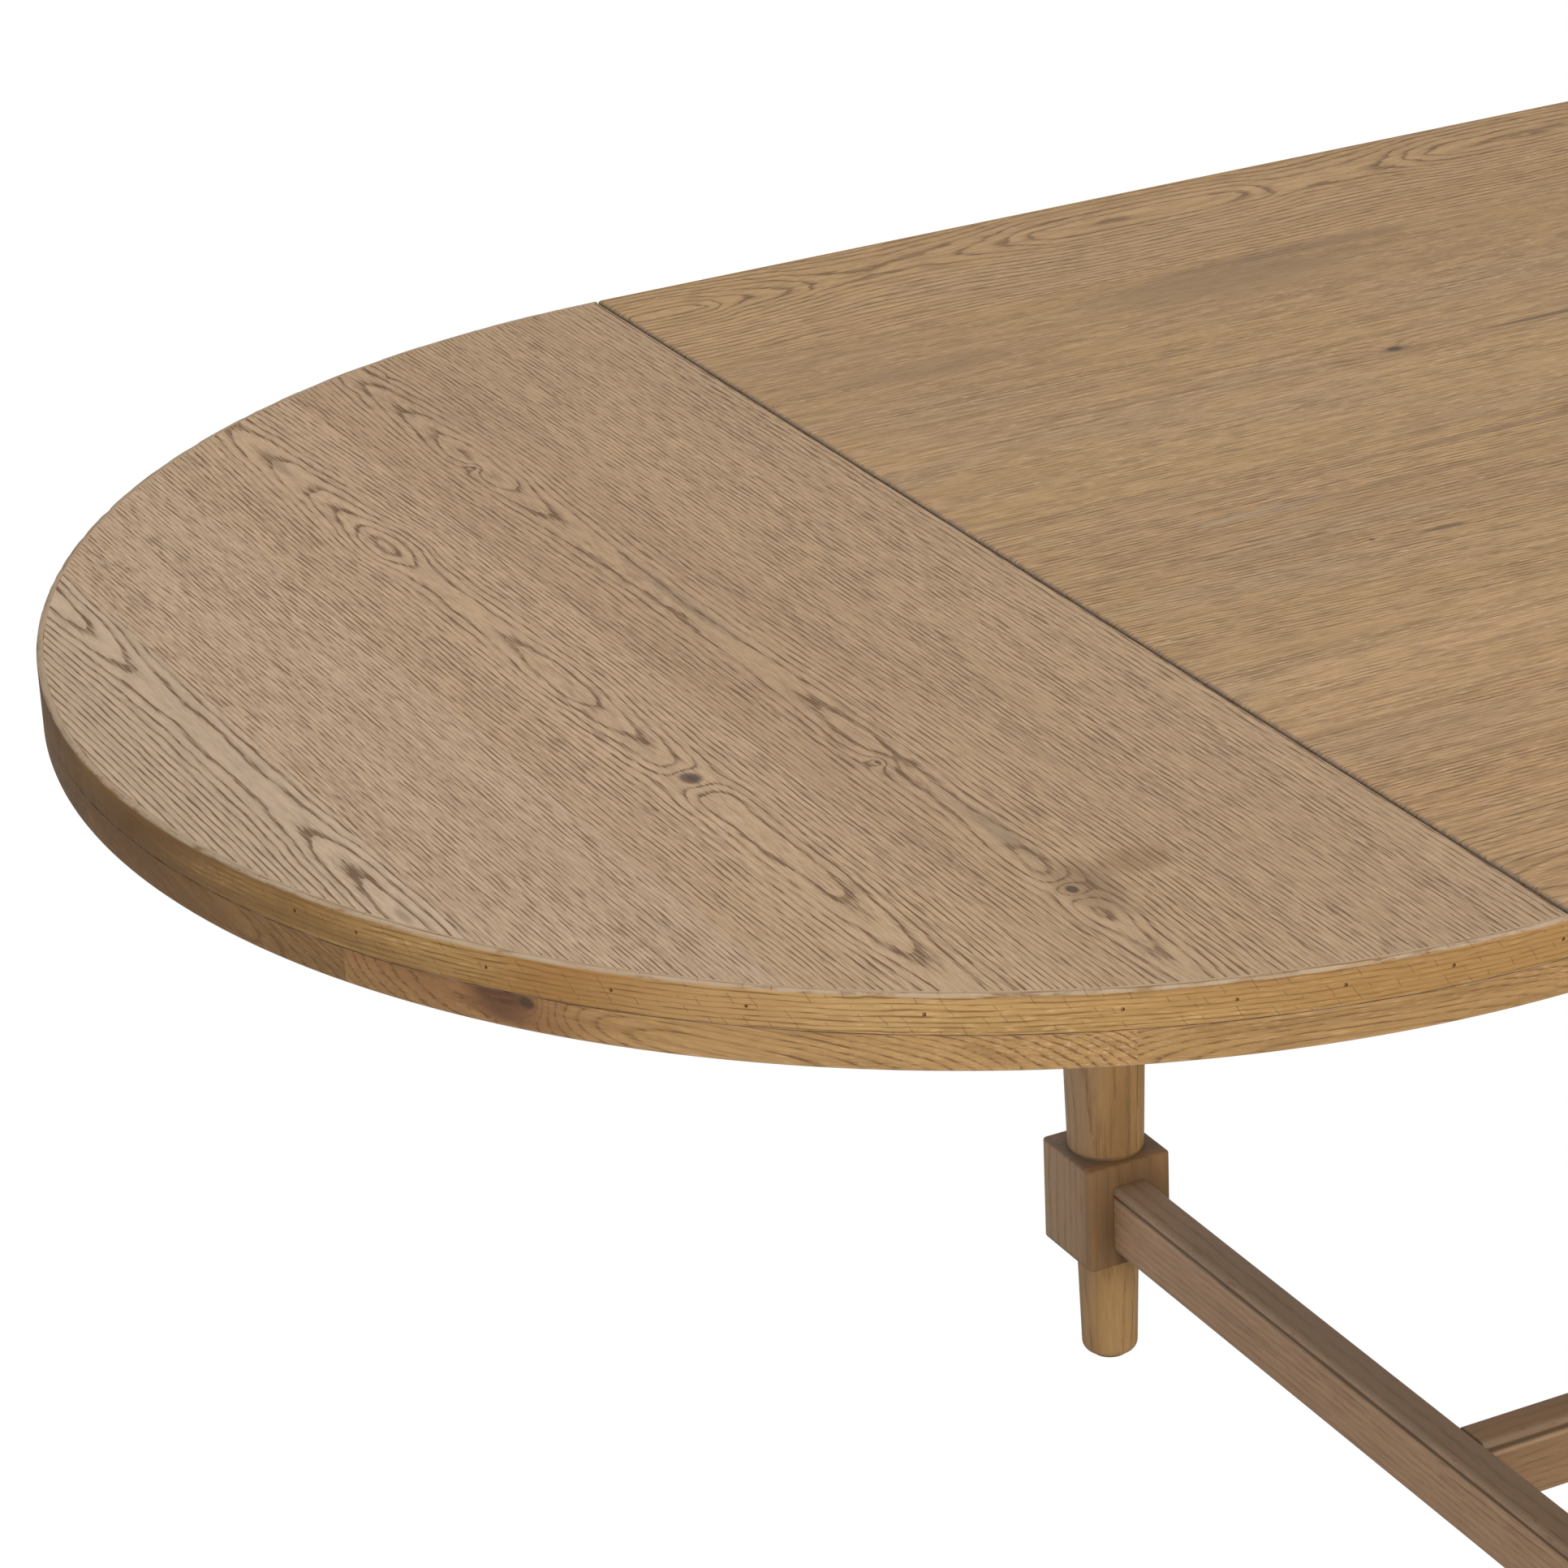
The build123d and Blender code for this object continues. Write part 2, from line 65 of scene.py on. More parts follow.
def deselect():
    if bpy.context.mode != "OBJECT":
        bpy.ops.object.mode_set(mode="OBJECT")
    bpy.ops.object.select_all(action="DESELECT")


def only(piece):
    deselect()
    piece.select_set(True)
    bpy.context.view_layer.objects.active = piece


def named(name):
    # the newest object gets its name, and its place goes into its mesh
    piece = bpy.context.object
    piece.name = name
    piece.data.name = name
    only(piece)
    bpy.ops.object.transform_apply(location=True, rotation=True, scale=True)
    return piece


def block(name, low, high):
    deselect()
    low, high = Vector(low), Vector(high)
    bpy.ops.mesh.primitive_cube_add(size=1, location=(low + high) / 2)
    bpy.context.object.scale = high - low
    return named(name)


def pickEdges(piece, wanted):
    only(piece)
    bpy.ops.object.mode_set(mode="EDIT")
    bpy.ops.mesh.select_mode(type="EDGE")
    bpy.ops.mesh.select_all(action="DESELECT")
    bpy.ops.object.mode_set(mode="OBJECT")
    mesh = piece.data
    count = 0
    for edge in mesh.edges:
        a, b = (mesh.vertices[i].co for i in edge.vertices)
        edge.select = bool(wanted(a, b))
        count += edge.select
    return count


def markWear(piece, run=None):
    # the points that lie wholly inside the bevelled strip are the arris; the end faces
    # of a strip that runs along one axis are left out of the count
    mesh = piece.data
    touching = {}
    for face in mesh.polygons:
        if run is not None and abs(face.normal[run]) > 0.9:
            continue
        for i in face.vertices:
            touching.setdefault(i, []).append(face.select)
    wear = mesh.attributes.get("wear") or mesh.attributes.new("wear", "FLOAT", "POINT")
    for i, faces in touching.items():
        if all(faces):
            wear.data[i].value = 1.0


def ease(piece, wanted, width, segments=4, run=None):
    if not pickEdges(piece, wanted):
        return
    bpy.ops.object.mode_set(mode="EDIT")
    bpy.ops.mesh.bevel(offset=width, segments=segments, profile=0.5)
    bpy.ops.object.mode_set(mode="OBJECT")
    markWear(piece, run)


def smooth(piece, degrees=35):
    only(piece)
    bpy.ops.object.shade_smooth_by_angle(angle=math.radians(degrees))


def halve(piece, point, normal):
    # keep what lies against the normal, and close the cut
    only(piece)
    bpy.ops.object.mode_set(mode="EDIT")
    bpy.ops.mesh.select_all(action="SELECT")
    bpy.ops.mesh.bisect(plane_co=point, plane_no=normal, use_fill=True, clear_outer=True)
    bpy.ops.mesh.select_all(action="SELECT")
    bpy.ops.mesh.normals_make_consistent(inside=False)
    bpy.ops.object.mode_set(mode="OBJECT")


def copyOf(piece, name, turn):
    only(piece)
    bpy.ops.object.duplicate()
    other = bpy.context.object
    other.name = name
    other.data.name = name
    other.data.transform(turn)
    return other


def dress(piece, material, body, node):
    piece.data.materials.clear()
    piece.data.materials.append(material)
    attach(piece, body)
    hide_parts(node)


# short ways to write a material

def newMaterial(name):
    material = bpy.data.materials.new(name)
    material.use_nodes = True
    material.node_tree.nodes.clear()
    return material, material.node_tree


def put(tree, kind, inputs=None, **settings):
    made = tree.nodes.new("ShaderNode" + kind)
    for key, value in settings.items():
        setattr(made, key, value)
    for key, value in (inputs or {}).items():
        if isinstance(value, bpy.types.NodeSocket):
            tree.links.new(value, made.inputs[key])
        else:
            made.inputs[key].default_value = value
    return made


def surface(tree, inputs):
    shader = put(tree, "BsdfPrincipled", inputs)
    put(tree, "OutputMaterial", {"Surface": shader.outputs[0]})


def calc(tree, operation, a, b=0.0, c=0.0):
    return put(tree, "Math", {0: a, 1: b, 2: c}, operation=operation).outputs[0]


def remap(tree, value, fromLow, fromHigh, toLow=0.0, toHigh=1.0, kind="SMOOTHSTEP"):
    made = put(tree, "MapRange", {"Value": value, "From Min": fromLow, "From Max": fromHigh,
                                  "To Min": toLow, "To Max": toHigh}, interpolation_type=kind)
    return made.outputs[0]


def curve(tree, value, points):
    made = put(tree, "FloatCurve", {"Value": value})
    line = made.mapping.curves[0]
    line.points[0].location = points[0]
    line.points[-1].location = points[-1]
    for x, y in points[1:-1]:
        line.points.new(x, y)
    made.mapping.update()
    return made.outputs[0]


def socketOf(sockets, identifier):
    return next(socket for socket in sockets if socket.identifier == identifier)


def blendColour(tree, amount, under, over):
    made = put(tree, "Mix", {"Factor": amount}, data_type="RGBA")
    for identifier, value in (("A_Color", under), ("B_Color", over)):
        target = socketOf(made.inputs, identifier)
        if isinstance(value, bpy.types.NodeSocket):
            tree.links.new(value, target)
        else:
            target.default_value = (*value, 1)
    return socketOf(made.outputs, "Result_Color")


def scaled(colour, factor):
    return tuple(c * factor for c in colour)


# the oak: growth rings about the log's middle, cut by the board

oakLook = {
    "pale": (0.505, 0.352, 0.227), "deep": (0.455, 0.312, 0.197), "line": (0.165, 0.092, 0.045),
    "tint": (1, 1, 1), "end": None, "wornPale": (0.50, 0.40, 0.30), "wornDark": (0.07, 0.045, 0.028),
    "ring": 0.0026, "lines": 1.3, "pores": 1.2, "flecks": 0.0, "streaks": 0.3, "mottle": 0.2,
    "wander": 0.003, "shake": 0.0030, "cloud": 0.0, "cloudPale": (1, 1, 1), "cloudDark": (1, 1, 1),
    "open": 0.010, "wearMix": 0.5, "rough": 0.56, "shine": 0.35, "bump": 0.35, "tilt": 0.0,
    "seam": None, "checks": 0.0,
}
oakDark = {"check": (0.12, 0.065, 0.028), "dust": (0.075, 0.045, 0.028),
           "end": (0.05, 0.033, 0.022), "knot": (0.085, 0.05, 0.032)}
ringProfile = [(0, 0.2), (0.07, 1), (0.20, 0.6), (0.36, 0.1), (0.86, 0), (1, 0.2)]
waveRise = 0.03                         # the highest rise that the waves can hold
grains = {                              # spots per metre along and across, shift, detail, roughness
    "sway": (2.2, 14, 0, 1.0, 0.5), "flutter": (22, 90, 3, 3.0, 0.5),
    "strokes": (40, 760, 11, 2.0, 0.6), "pores": (80, 1700, 13, 1.0, 0.5),
    "patch": (7, 55, 5, 2.0, 0.5), "tones": (1.6, 22, 17, 3.0, 0.6),
    "streak": (5, 150, 19, 3.0, 0.6), "mottle": (34, 240, 37, 2.0, 0.6),
    "silver": (120, 900, 23, 1.0, 0.5), "cloud": (3.2, 11, 43, 2.0, 0.5),
    "checks": (70, 190, 41, 1.0, 0.5), "chips": (45, 160, 29, 4.0, 0.7),
}


def grainNoise(wood, kind):
    alongScale, acrossScale, shift, detail, rough = grains[kind]
    tree = wood["tree"]
    along, across, depth = wood["place"]
    place = put(tree, "CombineXYZ", {
        0: calc(tree, "MULTIPLY_ADD", along, alongScale, wood["shift"] + shift),
        1: calc(tree, "MULTIPLY", across, acrossScale),
        2: calc(tree, "MULTIPLY", depth, acrossScale)})
    return put(tree, "TexNoise", {"Vector": place.outputs[0], "Scale": 1.0, "Detail": detail,
                                  "Roughness": rough})


def alongChord(tree, axes, middleX, angle):
    # along the chord of a sawn segment, and outwards from its leaf's middle
    x = calc(tree, "SUBTRACT", axes[0], middleX)
    y = axes[1]
    sine, cosine = math.sin(angle), math.cos(angle)
    along = calc(tree, "MULTIPLY_ADD", x, -sine, calc(tree, "MULTIPLY", y, cosine))
    out = calc(tree, "MULTIPLY_ADD", x, cosine, calc(tree, "MULTIPLY", y, sine))
    return along, calc(tree, "SUBTRACT", out, leafRadius)


def alongArc(tree, axes, middleX, side):
    # along a bent strip, and outwards from its leaf's middle
    x = calc(tree, "SUBTRACT", axes[0], middleX)
    turn = calc(tree, "ARCTAN2", axes[1], calc(tree, "MULTIPLY", x, -side))
    flat = put(tree, "CombineXYZ", {0: x, 1: axes[1]}).outputs[0]
    out = put(tree, "VectorMath", {0: flat}, operation="LENGTH").outputs["Value"]
    return calc(tree, "MULTIPLY", turn, -leafRadius), calc(tree, "SUBTRACT", out, leafRadius)


def grainPlace(wood, grain, centre, angle, side):
    # how far each point lies along the board, across it and up through it
    tree, axes = wood["tree"], wood["axes"]
    if grain == "arc":
        along, depth = alongArc(tree, axes, centre[0], side)
        across = calc(tree, "SUBTRACT", axes[2], centre[1])
    elif grain == "chord":
        along, depth = alongChord(tree, axes, centre[0], angle)
        across = calc(tree, "SUBTRACT", axes[2], centre[1])
    else:
        order = {"x": (0, 1, 2), "y": (1, 0, 2), "z": (2, 0, 1)}[grain]
        along, across, depth = (axes[i] for i in order)
        across = calc(tree, "SUBTRACT", across, centre[0])
        depth = calc(tree, "SUBTRACT", depth, centre[1])
    tilt = wood["look"]["tilt"]
    if tilt:
        across = calc(tree, "MULTIPLY_ADD", along, tilt, across)
    return along, across, depth


def oval(tree, place, middle, size):
    # 0 at its middle and 1 at its edge
    total = None
    for value, at, reach in zip(place, middle, size):
        part = calc(tree, "DIVIDE", calc(tree, "SUBTRACT", value, at), reach)
        part = calc(tree, "MULTIPLY", part, part)
        total = part if total is None else calc(tree, "ADD", total, part)
    return calc(tree, "SQRT", total)


def logDistance(wood, heart, waves):
    # how far each point lies from the log's middle, which wanders and rises
    tree, look = wood["tree"], wood["look"]
    along, across, depth = wood["place"]
    wander = look["wander"]
    sway = put(tree, "SeparateColor", {0: grainNoise(wood, "sway").outputs["Color"]}).outputs
    bend = calc(tree, "MULTIPLY_ADD", sway[0], 2 * wander, -wander)
    shake = calc(tree, "MULTIPLY_ADD", wood["flutter"], look["shake"], -look["shake"] / 2)
    aside = calc(tree, "ADD", calc(tree, "ADD", across, bend), -heart[0])
    below = calc(tree, "SUBTRACT", heart[1], depth)
    if waves:
        low, high = waves[0][0], waves[-1][0]
        points = [((at - low) / (high - low), rise / waveRise) for at, rise in waves]
        run = remap(tree, along, low, high, kind="LINEAR")
        below = calc(tree, "MULTIPLY_ADD", curve(tree, run, points), waveRise, below)
    below = calc(tree, "MULTIPLY_ADD", sway[1], wander, below)
    away = calc(tree, "SQRT", calc(tree, "ADD", calc(tree, "MULTIPLY", aside, aside),
                                   calc(tree, "MULTIPLY", below, below)))
    return calc(tree, "ADD", away, shake)


def addKnots(wood, ringAt, knots):
    # each knot pushes the rings aside and leaves a ragged dark spot
    tree = wood["tree"]
    along, across = wood["place"][:2]
    spots = None
    for knotAlong, knotAcross, size, push in knots:
        away = oval(tree, (along, across), (knotAlong, knotAcross), (size * 1.5, size))
        fall = calc(tree, "MULTIPLY_ADD", calc(tree, "MULTIPLY", away, away), 0.3, 1.0)
        ringAt = calc(tree, "ADD", calc(tree, "DIVIDE", push, fall), ringAt)
        ragged = calc(tree, "MULTIPLY_ADD", wood["flutter"], 0.7, away)
        spot = remap(tree, ragged, 0.75, 1.2, 1, 0)
        spots = spot if spots is None else calc(tree, "MAXIMUM", spots, spot)
    return ringAt, spots


def openPores(wood, ringAt):
    # the dark marks: ring lines broken into strokes, and fine pores between them
    tree, look = wood["tree"], wood["look"]
    # the rings open out towards the log's middle
    ringAt = calc(tree, "DIVIDE", calc(tree, "MULTIPLY", ringAt, ringAt),
                  calc(tree, "ADD", ringAt, look["open"]))
    ringTurn = calc(tree, "FRACT", calc(tree, "DIVIDE", ringAt, look["ring"]))
    line = curve(tree, ringTurn, ringProfile)
    strokes = remap(tree, grainNoise(wood, "strokes").outputs[0], 0.46, 0.60)
    pores = remap(tree, grainNoise(wood, "pores").outputs[0], 0.50, 0.66)
    patchy = wood["patchy"]
    dashes = calc(tree, "MULTIPLY", line, calc(tree, "MULTIPLY_ADD", strokes, 0.60, 0.40))
    half = 0.5 * look["lines"]
    lines = calc(tree, "MULTIPLY", dashes, calc(tree, "MULTIPLY_ADD", patchy, half, half))
    marks = calc(tree, "MULTIPLY_ADD", calc(tree, "MULTIPLY", strokes, patchy), 0.34 * look["pores"], lines)
    marks = calc(tree, "MULTIPLY_ADD", pores, 0.22 * look["pores"], marks)
    return calc(tree, "MINIMUM", marks, 1.0)


def bareWood(wood):
    # the wood's own tones, from the broadest to the finest
    tree, look = wood["tree"], wood["look"]
    pale = tuple(c * t for c, t in zip(look["pale"], look["tint"]))
    deep = tuple(c * t for c, t in zip(look["deep"], look["tint"]))
    tone = remap(tree, grainNoise(wood, "tones").outputs[0], 0.3, 0.7)
    colour = blendColour(tree, tone, pale, deep)
    if look["cloud"]:
        # slow drifts between golden and greyish wood
        drift = grainNoise(wood, "cloud").outputs[0]
        grey = remap(tree, drift, 0.50, 0.66, 0, look["cloud"])
        gold = remap(tree, drift, 0.50, 0.34, 0, look["cloud"])
        colour = blendColour(tree, grey, colour, look["cloudDark"])
        colour = blendColour(tree, gold, colour, look["cloudPale"])
    streak = remap(tree, grainNoise(wood, "streak").outputs[0], 0.45, 0.70, 0, look["streaks"])
    colour = blendColour(tree, streak, colour, scaled(deep, 0.72))
    mottle = remap(tree, grainNoise(wood, "mottle").outputs[0], 0.44, 0.66, 0, look["mottle"])
    colour = blendColour(tree, mottle, colour, scaled(deep, 0.62))
    silver = remap(tree, grainNoise(wood, "silver").outputs[0], 0.54, 0.70, 0, 0.25 + look["flecks"])
    silvery = tuple(c * 1.15 + 0.065 for c in pale)
    return blendColour(tree, calc(tree, "MULTIPLY", silver, wood["patchy"]), colour, silvery)


def addStainsAndPaintedLight(wood, colour, stainsAndPaintedLight):
    tree = wood["tree"]
    # the patches hold real stains and also painted light and shade; each blends its colour in over a ragged
    # oval
    for at, size, shade, strength in stainsAndPaintedLight:
        away = oval(tree, wood["place"], at, size)
        away = calc(tree, "MULTIPLY_ADD", wood["patch"], 0.8, away)
        colour = blendColour(tree, remap(tree, away, 0.7, 1.4, strength, 0), colour, shade)
    return colour


def addChecks(wood, colour):
    # fine drying checks that cross the strip on the slant
    tree = wood["tree"]
    along, across = wood["place"][:2]
    slant = calc(tree, "MULTIPLY_ADD", across, 62.0, calc(tree, "MULTIPLY", along, 95.0))
    slant = calc(tree, "MULTIPLY_ADD", wood["flutter"], 0.5, slant)
    split = put(tree, "TexVoronoi", {"W": slant, "Scale": 1.0, "Randomness": 1.0},
                voronoi_dimensions="1D", feature="DISTANCE_TO_EDGE")
    thin = remap(tree, split.outputs["Distance"], 0.0, 0.045, 1, 0)
    fade = remap(tree, grainNoise(wood, "checks").outputs[0], 0.50, 0.58)
    amount = calc(tree, "MULTIPLY", calc(tree, "MULTIPLY", thin, fade), wood["look"]["checks"])
    return blendColour(tree, amount, colour, oakDark["check"])


def addSeam(wood, colour):
    # dust and glue in the joint line between the two layers
    tree = wood["tree"]
    off = calc(tree, "ABSOLUTE", calc(tree, "SUBTRACT", wood["axes"][2], wood["look"]["seam"]))
    off = calc(tree, "MULTIPLY_ADD", wood["flutter"], 0.0016, off)
    return blendColour(tree, remap(tree, off, 0.0006, 0.0013, 0.6, 0), colour, oakDark["dust"])


def addEndStainAndShade(wood, colour):
    # the sawn end is darkened, most of it near the top: partly stain that the end holds, partly painted
    # shade for the joint's gap
    tree = wood["tree"]
    end = wood["look"]["end"]
    back = calc(tree, "SUBTRACT", end, calc(tree, "ABSOLUTE", wood["axes"][0]))
    if end > centreEnd:                 # a leaf's end looks the other way
        back = calc(tree, "MULTIPLY", back, -1.0)
    high = remap(tree, wood["axes"][2], topZ - 0.009, topZ - 0.003, 0.4, 1.0)
    stainAndGapShade = calc(tree, "MULTIPLY", high, remap(tree, back, 0.0001, 0.0012, 0.85, 0))
    return blendColour(tree, stainAndGapShade, colour, oakDark["end"])


def addWear(wood, colour):
    # the arrises are rubbed pale in places and dirty in others
    tree, look = wood["tree"], wood["look"]
    wear = put(tree, "Attribute", attribute_name="wear").outputs["Fac"]
    chips = grainNoise(wood, "chips").outputs[0]
    paleWear = calc(tree, "MULTIPLY", wear, remap(tree, chips, 0.40, 0.54))
    darkWear = calc(tree, "MULTIPLY", wear, remap(tree, chips, 0.44, 0.34, 0, 0.7))
    paleMix = calc(tree, "MULTIPLY", paleWear, look["wearMix"])
    darkMix = calc(tree, "MULTIPLY", darkWear, look["wearMix"])
    colour = blendColour(tree, paleMix, colour, look["wornPale"])
    return blendColour(tree, darkMix, colour, look["wornDark"])


def oak(name, grain, seed, heart=(0.12, 0.05), waves=None, knots=(), stainsAndPaintedLight=(), centre=(0, 0),
        angle=0.0, side=1, **changes):
    # heart is how far aside and how deep the log's middle lies; waves are the rises of
    # that depth along the board, which draw the cathedral arches and the eyes; a knot is
    # (along, across, size, push) and a patch, real stain and painted light or shade alike, is (place,
    # reach, colour, strength)
    material, tree = newMaterial(name)
    look = {**oakLook, **changes}
    wood = {"tree": tree, "look": look, "shift": seed * 7.31}
    place = put(tree, "TexCoord").outputs["Object"]
    wood["axes"] = put(tree, "SeparateXYZ", {0: place}).outputs
    wood["place"] = grainPlace(wood, grain, centre, angle, side)
    wood["flutter"] = grainNoise(wood, "flutter").outputs[0]
    wood["patch"] = grainNoise(wood, "patch").outputs[0]
    wood["patchy"] = remap(tree, wood["patch"], 0.36, 0.66, 0.35, 1.0)
    ringAt, knotSpots = addKnots(wood, logDistance(wood, heart, waves), knots)
    marks = openPores(wood, ringAt)
    colour = addStainsAndPaintedLight(wood, bareWood(wood), stainsAndPaintedLight)
    colour = blendColour(tree, marks, colour, look["line"])
    if look["checks"]:
        colour = addChecks(wood, colour)
    if look["seam"] is not None:
        colour = addSeam(wood, colour)
    if look["end"] is not None:
        colour = addEndStainAndShade(wood, colour)
    if knotSpots is not None:
        colour = blendColour(tree, calc(tree, "MULTIPLY", knotSpots, 0.85), colour, oakDark["knot"])
    colour = addWear(wood, colour)
    rough = calc(tree, "MULTIPLY_ADD", marks, 0.16, look["rough"])
    height = calc(tree, "MULTIPLY", marks, -1.0)
    relief = put(tree, "Bump", {"Height": height, "Strength": look["bump"], "Distance": 0.0006})
    surface(tree, {"Base Color": colour, "Roughness": rough, "Normal": relief.outputs[0],
                   "Specular IOR Level": look["shine"]})
    return material


# the leaves' boards; places across a board are measured from its middle, in metres

leafTop = {"sides": 360, "jointArris": 0.0012,
           "firstBoard": {"left": 0, "right": 2}}      # the right leaf starts further down the list
dusk = (0.27, 0.185, 0.115)
umber = (0.23, 0.135, 0.063)
amber = (0.50, 0.338, 0.188)
leafBoards = [                          # from the joint outwards
    {"heart": (0.11, 0.05), "ring": 0.0027, "lines": 1.35, "flecks": 0.2, "tint": (1.0, 0.965, 0.885)},
    {"heart": (-0.0055, 0.006), "ring": 0.0028, "lines": 1.5, "tint": (1.01, 0.97, 0.90),
     "waves": [(-0.51, 0.010), (-0.42, 0.005), (-0.365, 0.0), (-0.25, 0.006), (-0.19, 0.005),
               (-0.05, 0.008), (0.05, 0.009), (0.18, 0.007), (0.24, 0.004), (0.29, 0.0),
               (0.35, 0.004), (0.42, 0.009), (0.51, 0.014)],
     "knots": [(-0.365, -0.0055, 0.0042, 0.014), (-0.19, -0.0125, 0.0022, 0.008),
               (0.29, -0.0105, 0.0024, 0.007), (0.455, 0.0095, 0.0015, 0.002)],
     "stainsAndPaintedLight": [((-0.42, 0.0), (0.24, 0.10), amber, 0.5),
                ((-0.352, 0.036), (0.020, 0.026), (0.33, 0.195, 0.095), 0.7),
                ((-0.365, 0.004), (0.045, 0.020), umber, 0.6),
                ((-0.29, -0.002), (0.06, 0.008), dusk, 0.6),
                ((0.05, 0.0), (0.09, 0.006), dusk, 0.55)]},
    {"heart": (0.0085, 0.005), "ring": 0.0027, "lines": 1.55, "tint": (1.09, 1.07, 1.02),
     "waves": [(-0.51, 0.018), (-0.4, 0.014), (-0.3, 0.010), (-0.22, 0.008), (-0.158, 0.004),
               (-0.11, 0.006), (-0.06, 0.004), (-0.013, 0.001), (0.03, 0.003), (0.08, 0.005),
               (0.14, 0.006), (0.181, 0.003), (0.205, 0.0), (0.235, 0.003), (0.256, 0.006),
               (0.292, 0.009), (0.355, 0.013), (0.43, 0.017), (0.51, 0.021)],
     "knots": [(-0.158, 0.0095, 0.0070, 0.013)],
     "stainsAndPaintedLight": [((-0.42, 0.0), (0.24, 0.10), amber, 0.5), ((0.36, 0.006), (0.04, 0.004), dusk, 0.6)]},
    {"heart": (-0.13, 0.04), "ring": 0.0024, "lines": 1.25, "pores": 1.25, "tint": (1.12, 1.12, 1.12)},
    {"heart": (0.0215, 0.004), "ring": 0.0034, "lines": 1.9, "pores": 0.7, "tint": (1.09, 1.14, 1.20),
     "waves": [(-0.51, 0.002), (-0.3, 0.0), (-0.21, 0.0004), (-0.15, 0.0036), (-0.115, 0.0071),
               (-0.06, 0.0092), (0.0, 0.0094), (0.08, 0.0092), (0.133, 0.0071), (0.187, 0.0027),
               (0.214, 0.0010), (0.25, 0.0), (0.3, 0.0), (0.51, 0.010)],
     "stainsAndPaintedLight": [((-0.225, 0.0215), (0.014, 0.0035), dusk, 0.7)]},
]


def leafDisc(name, radius, low, high):
    deselect()
    bpy.ops.mesh.primitive_cylinder_add(vertices=leafTop["sides"], radius=radius, depth=high - low,
                                        location=(-jointX, 0, (low + high) / 2))
    disc = named(name)
    halve(disc, (-leafEnd, 0, 0), (1, 0, 0))
    return disc


def makeLeafBoards():
    disc = leafDisc("leafDisc", leafRadius - bandThick, layerZ, topZ)
    for number in range(1, len(leafBoards) + 1):
        low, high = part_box(f"left_leaf_board_{number}")
        board = copyOf(disc, f"leftLeafBoard{number}", Matrix())
        if number > 1:
            halve(board, (high.x, 0, 0), (1, 0, 0))
        if number < len(leafBoards):
            halve(board, (low.x, 0, 0), (-1, 0, 0))
        if number == 1:
            ease(board, lambda a, b: all(same(p.x, high.x) and same(p.z, topZ) for p in (a, b)),
                 leafTop["jointArris"], segments=3)
        smooth(board)
        other = copyOf(board, f"rightLeafBoard{number}", halfTurn)
        middle = (low.x + high.x) / 2
        for side, piece, sign in (("left", board, 1), ("right", other, -1)):
            first = leafTop["firstBoard"][side]
            look = leafBoards[(number - 1 + first) % len(leafBoards)]
            wood = oak(f"{side}LeafOak{number}", "y", number + 20 * first, centre=(sign * middle, topZ),
                       end=leafEnd if number == 1 else None, **look)
            dress(piece, wood, f"{side}_leaf", f"{side}_leaf_board_{number}")
    bpy.data.objects.remove(disc)
    print("leaf boards made")


# each leaf's bent edge band and its lower rim

edgeBand = {"sides": 720, "inset": 0.00015, "arris": 0.0018, "lowArris": 0.0006, "chip": 0.0008,
            "chipsPerMetre": 90, "holeRadius": 0.0010, "holeDepth": 0.0015, "holeDrop": 0.0096,
            "pinLength": 0.01, "pinSides": 12, "halfHeight": 0.01, "seed": 4,
            "holes": [199.8, 204.3, 212.7, 219.9, 227.1, 236.1, 245.9, 251.6, 257.2, 263, 269.3]}
bandOak = {"pale": (0.56, 0.340, 0.128), "deep": (0.46, 0.265, 0.092), "line": (0.25, 0.128, 0.045),
           "heart": (0.03, 0.02), "ring": 0.0021, "lines": 1.35, "pores": 0.5, "flecks": 0.45,
           "streaks": 0.5, "wander": 0.003, "wearMix": 0.6, "rough": 0.6, "bump": 0.3, "shine": 0.2,
           "seam": layerZ, "checks": 0.6,
           # the first patch darkens the band strongly round the leaf's outer end, on the left leaf the side
           # turned from the key light: partly painted shade, partly darker wood
           "stainsAndPaintedLight": [((-0.25, 0.0), (0.61, 0.3), (0.165, 0.080, 0.024), 0.97),
                      ((0.375, 0.0), (0.12, 0.3), (0.36, 0.150, 0.035), 0.5),
                      ((0.45, 0.0), (0.11, 0.3), (0.62, 0.40, 0.18), 0.45),
                      ((0.76, 0.0), (0.24, 0.3), (0.31, 0.156, 0.047), 0.5),
                      ((0.0, 0.0100), (9, 0.0017), (0.43, 0.325, 0.225), 0.85)],
           "wornPale": (0.50, 0.38, 0.26), "wornDark": (0.10, 0.07, 0.05)}
rimShape = {"lowArris": 0.0015, "topArris": 0.0005, "seed": 10,
            "joints": [133, 177, 203.3, 246.6]}        # where the segments meet, by angle
rimOak = {"pale": (0.56, 0.350, 0.150), "deep": (0.43, 0.250, 0.100), "line": (0.20, 0.106, 0.042),
          "ring": 0.0023, "lines": 1.1, "pores": 0.6, "flecks": 0.3, "streaks": 0.5, "wander": 0.005,
          "wearMix": 0.3, "rough": 0.6, "shine": 0.2, "seam": layerZ}
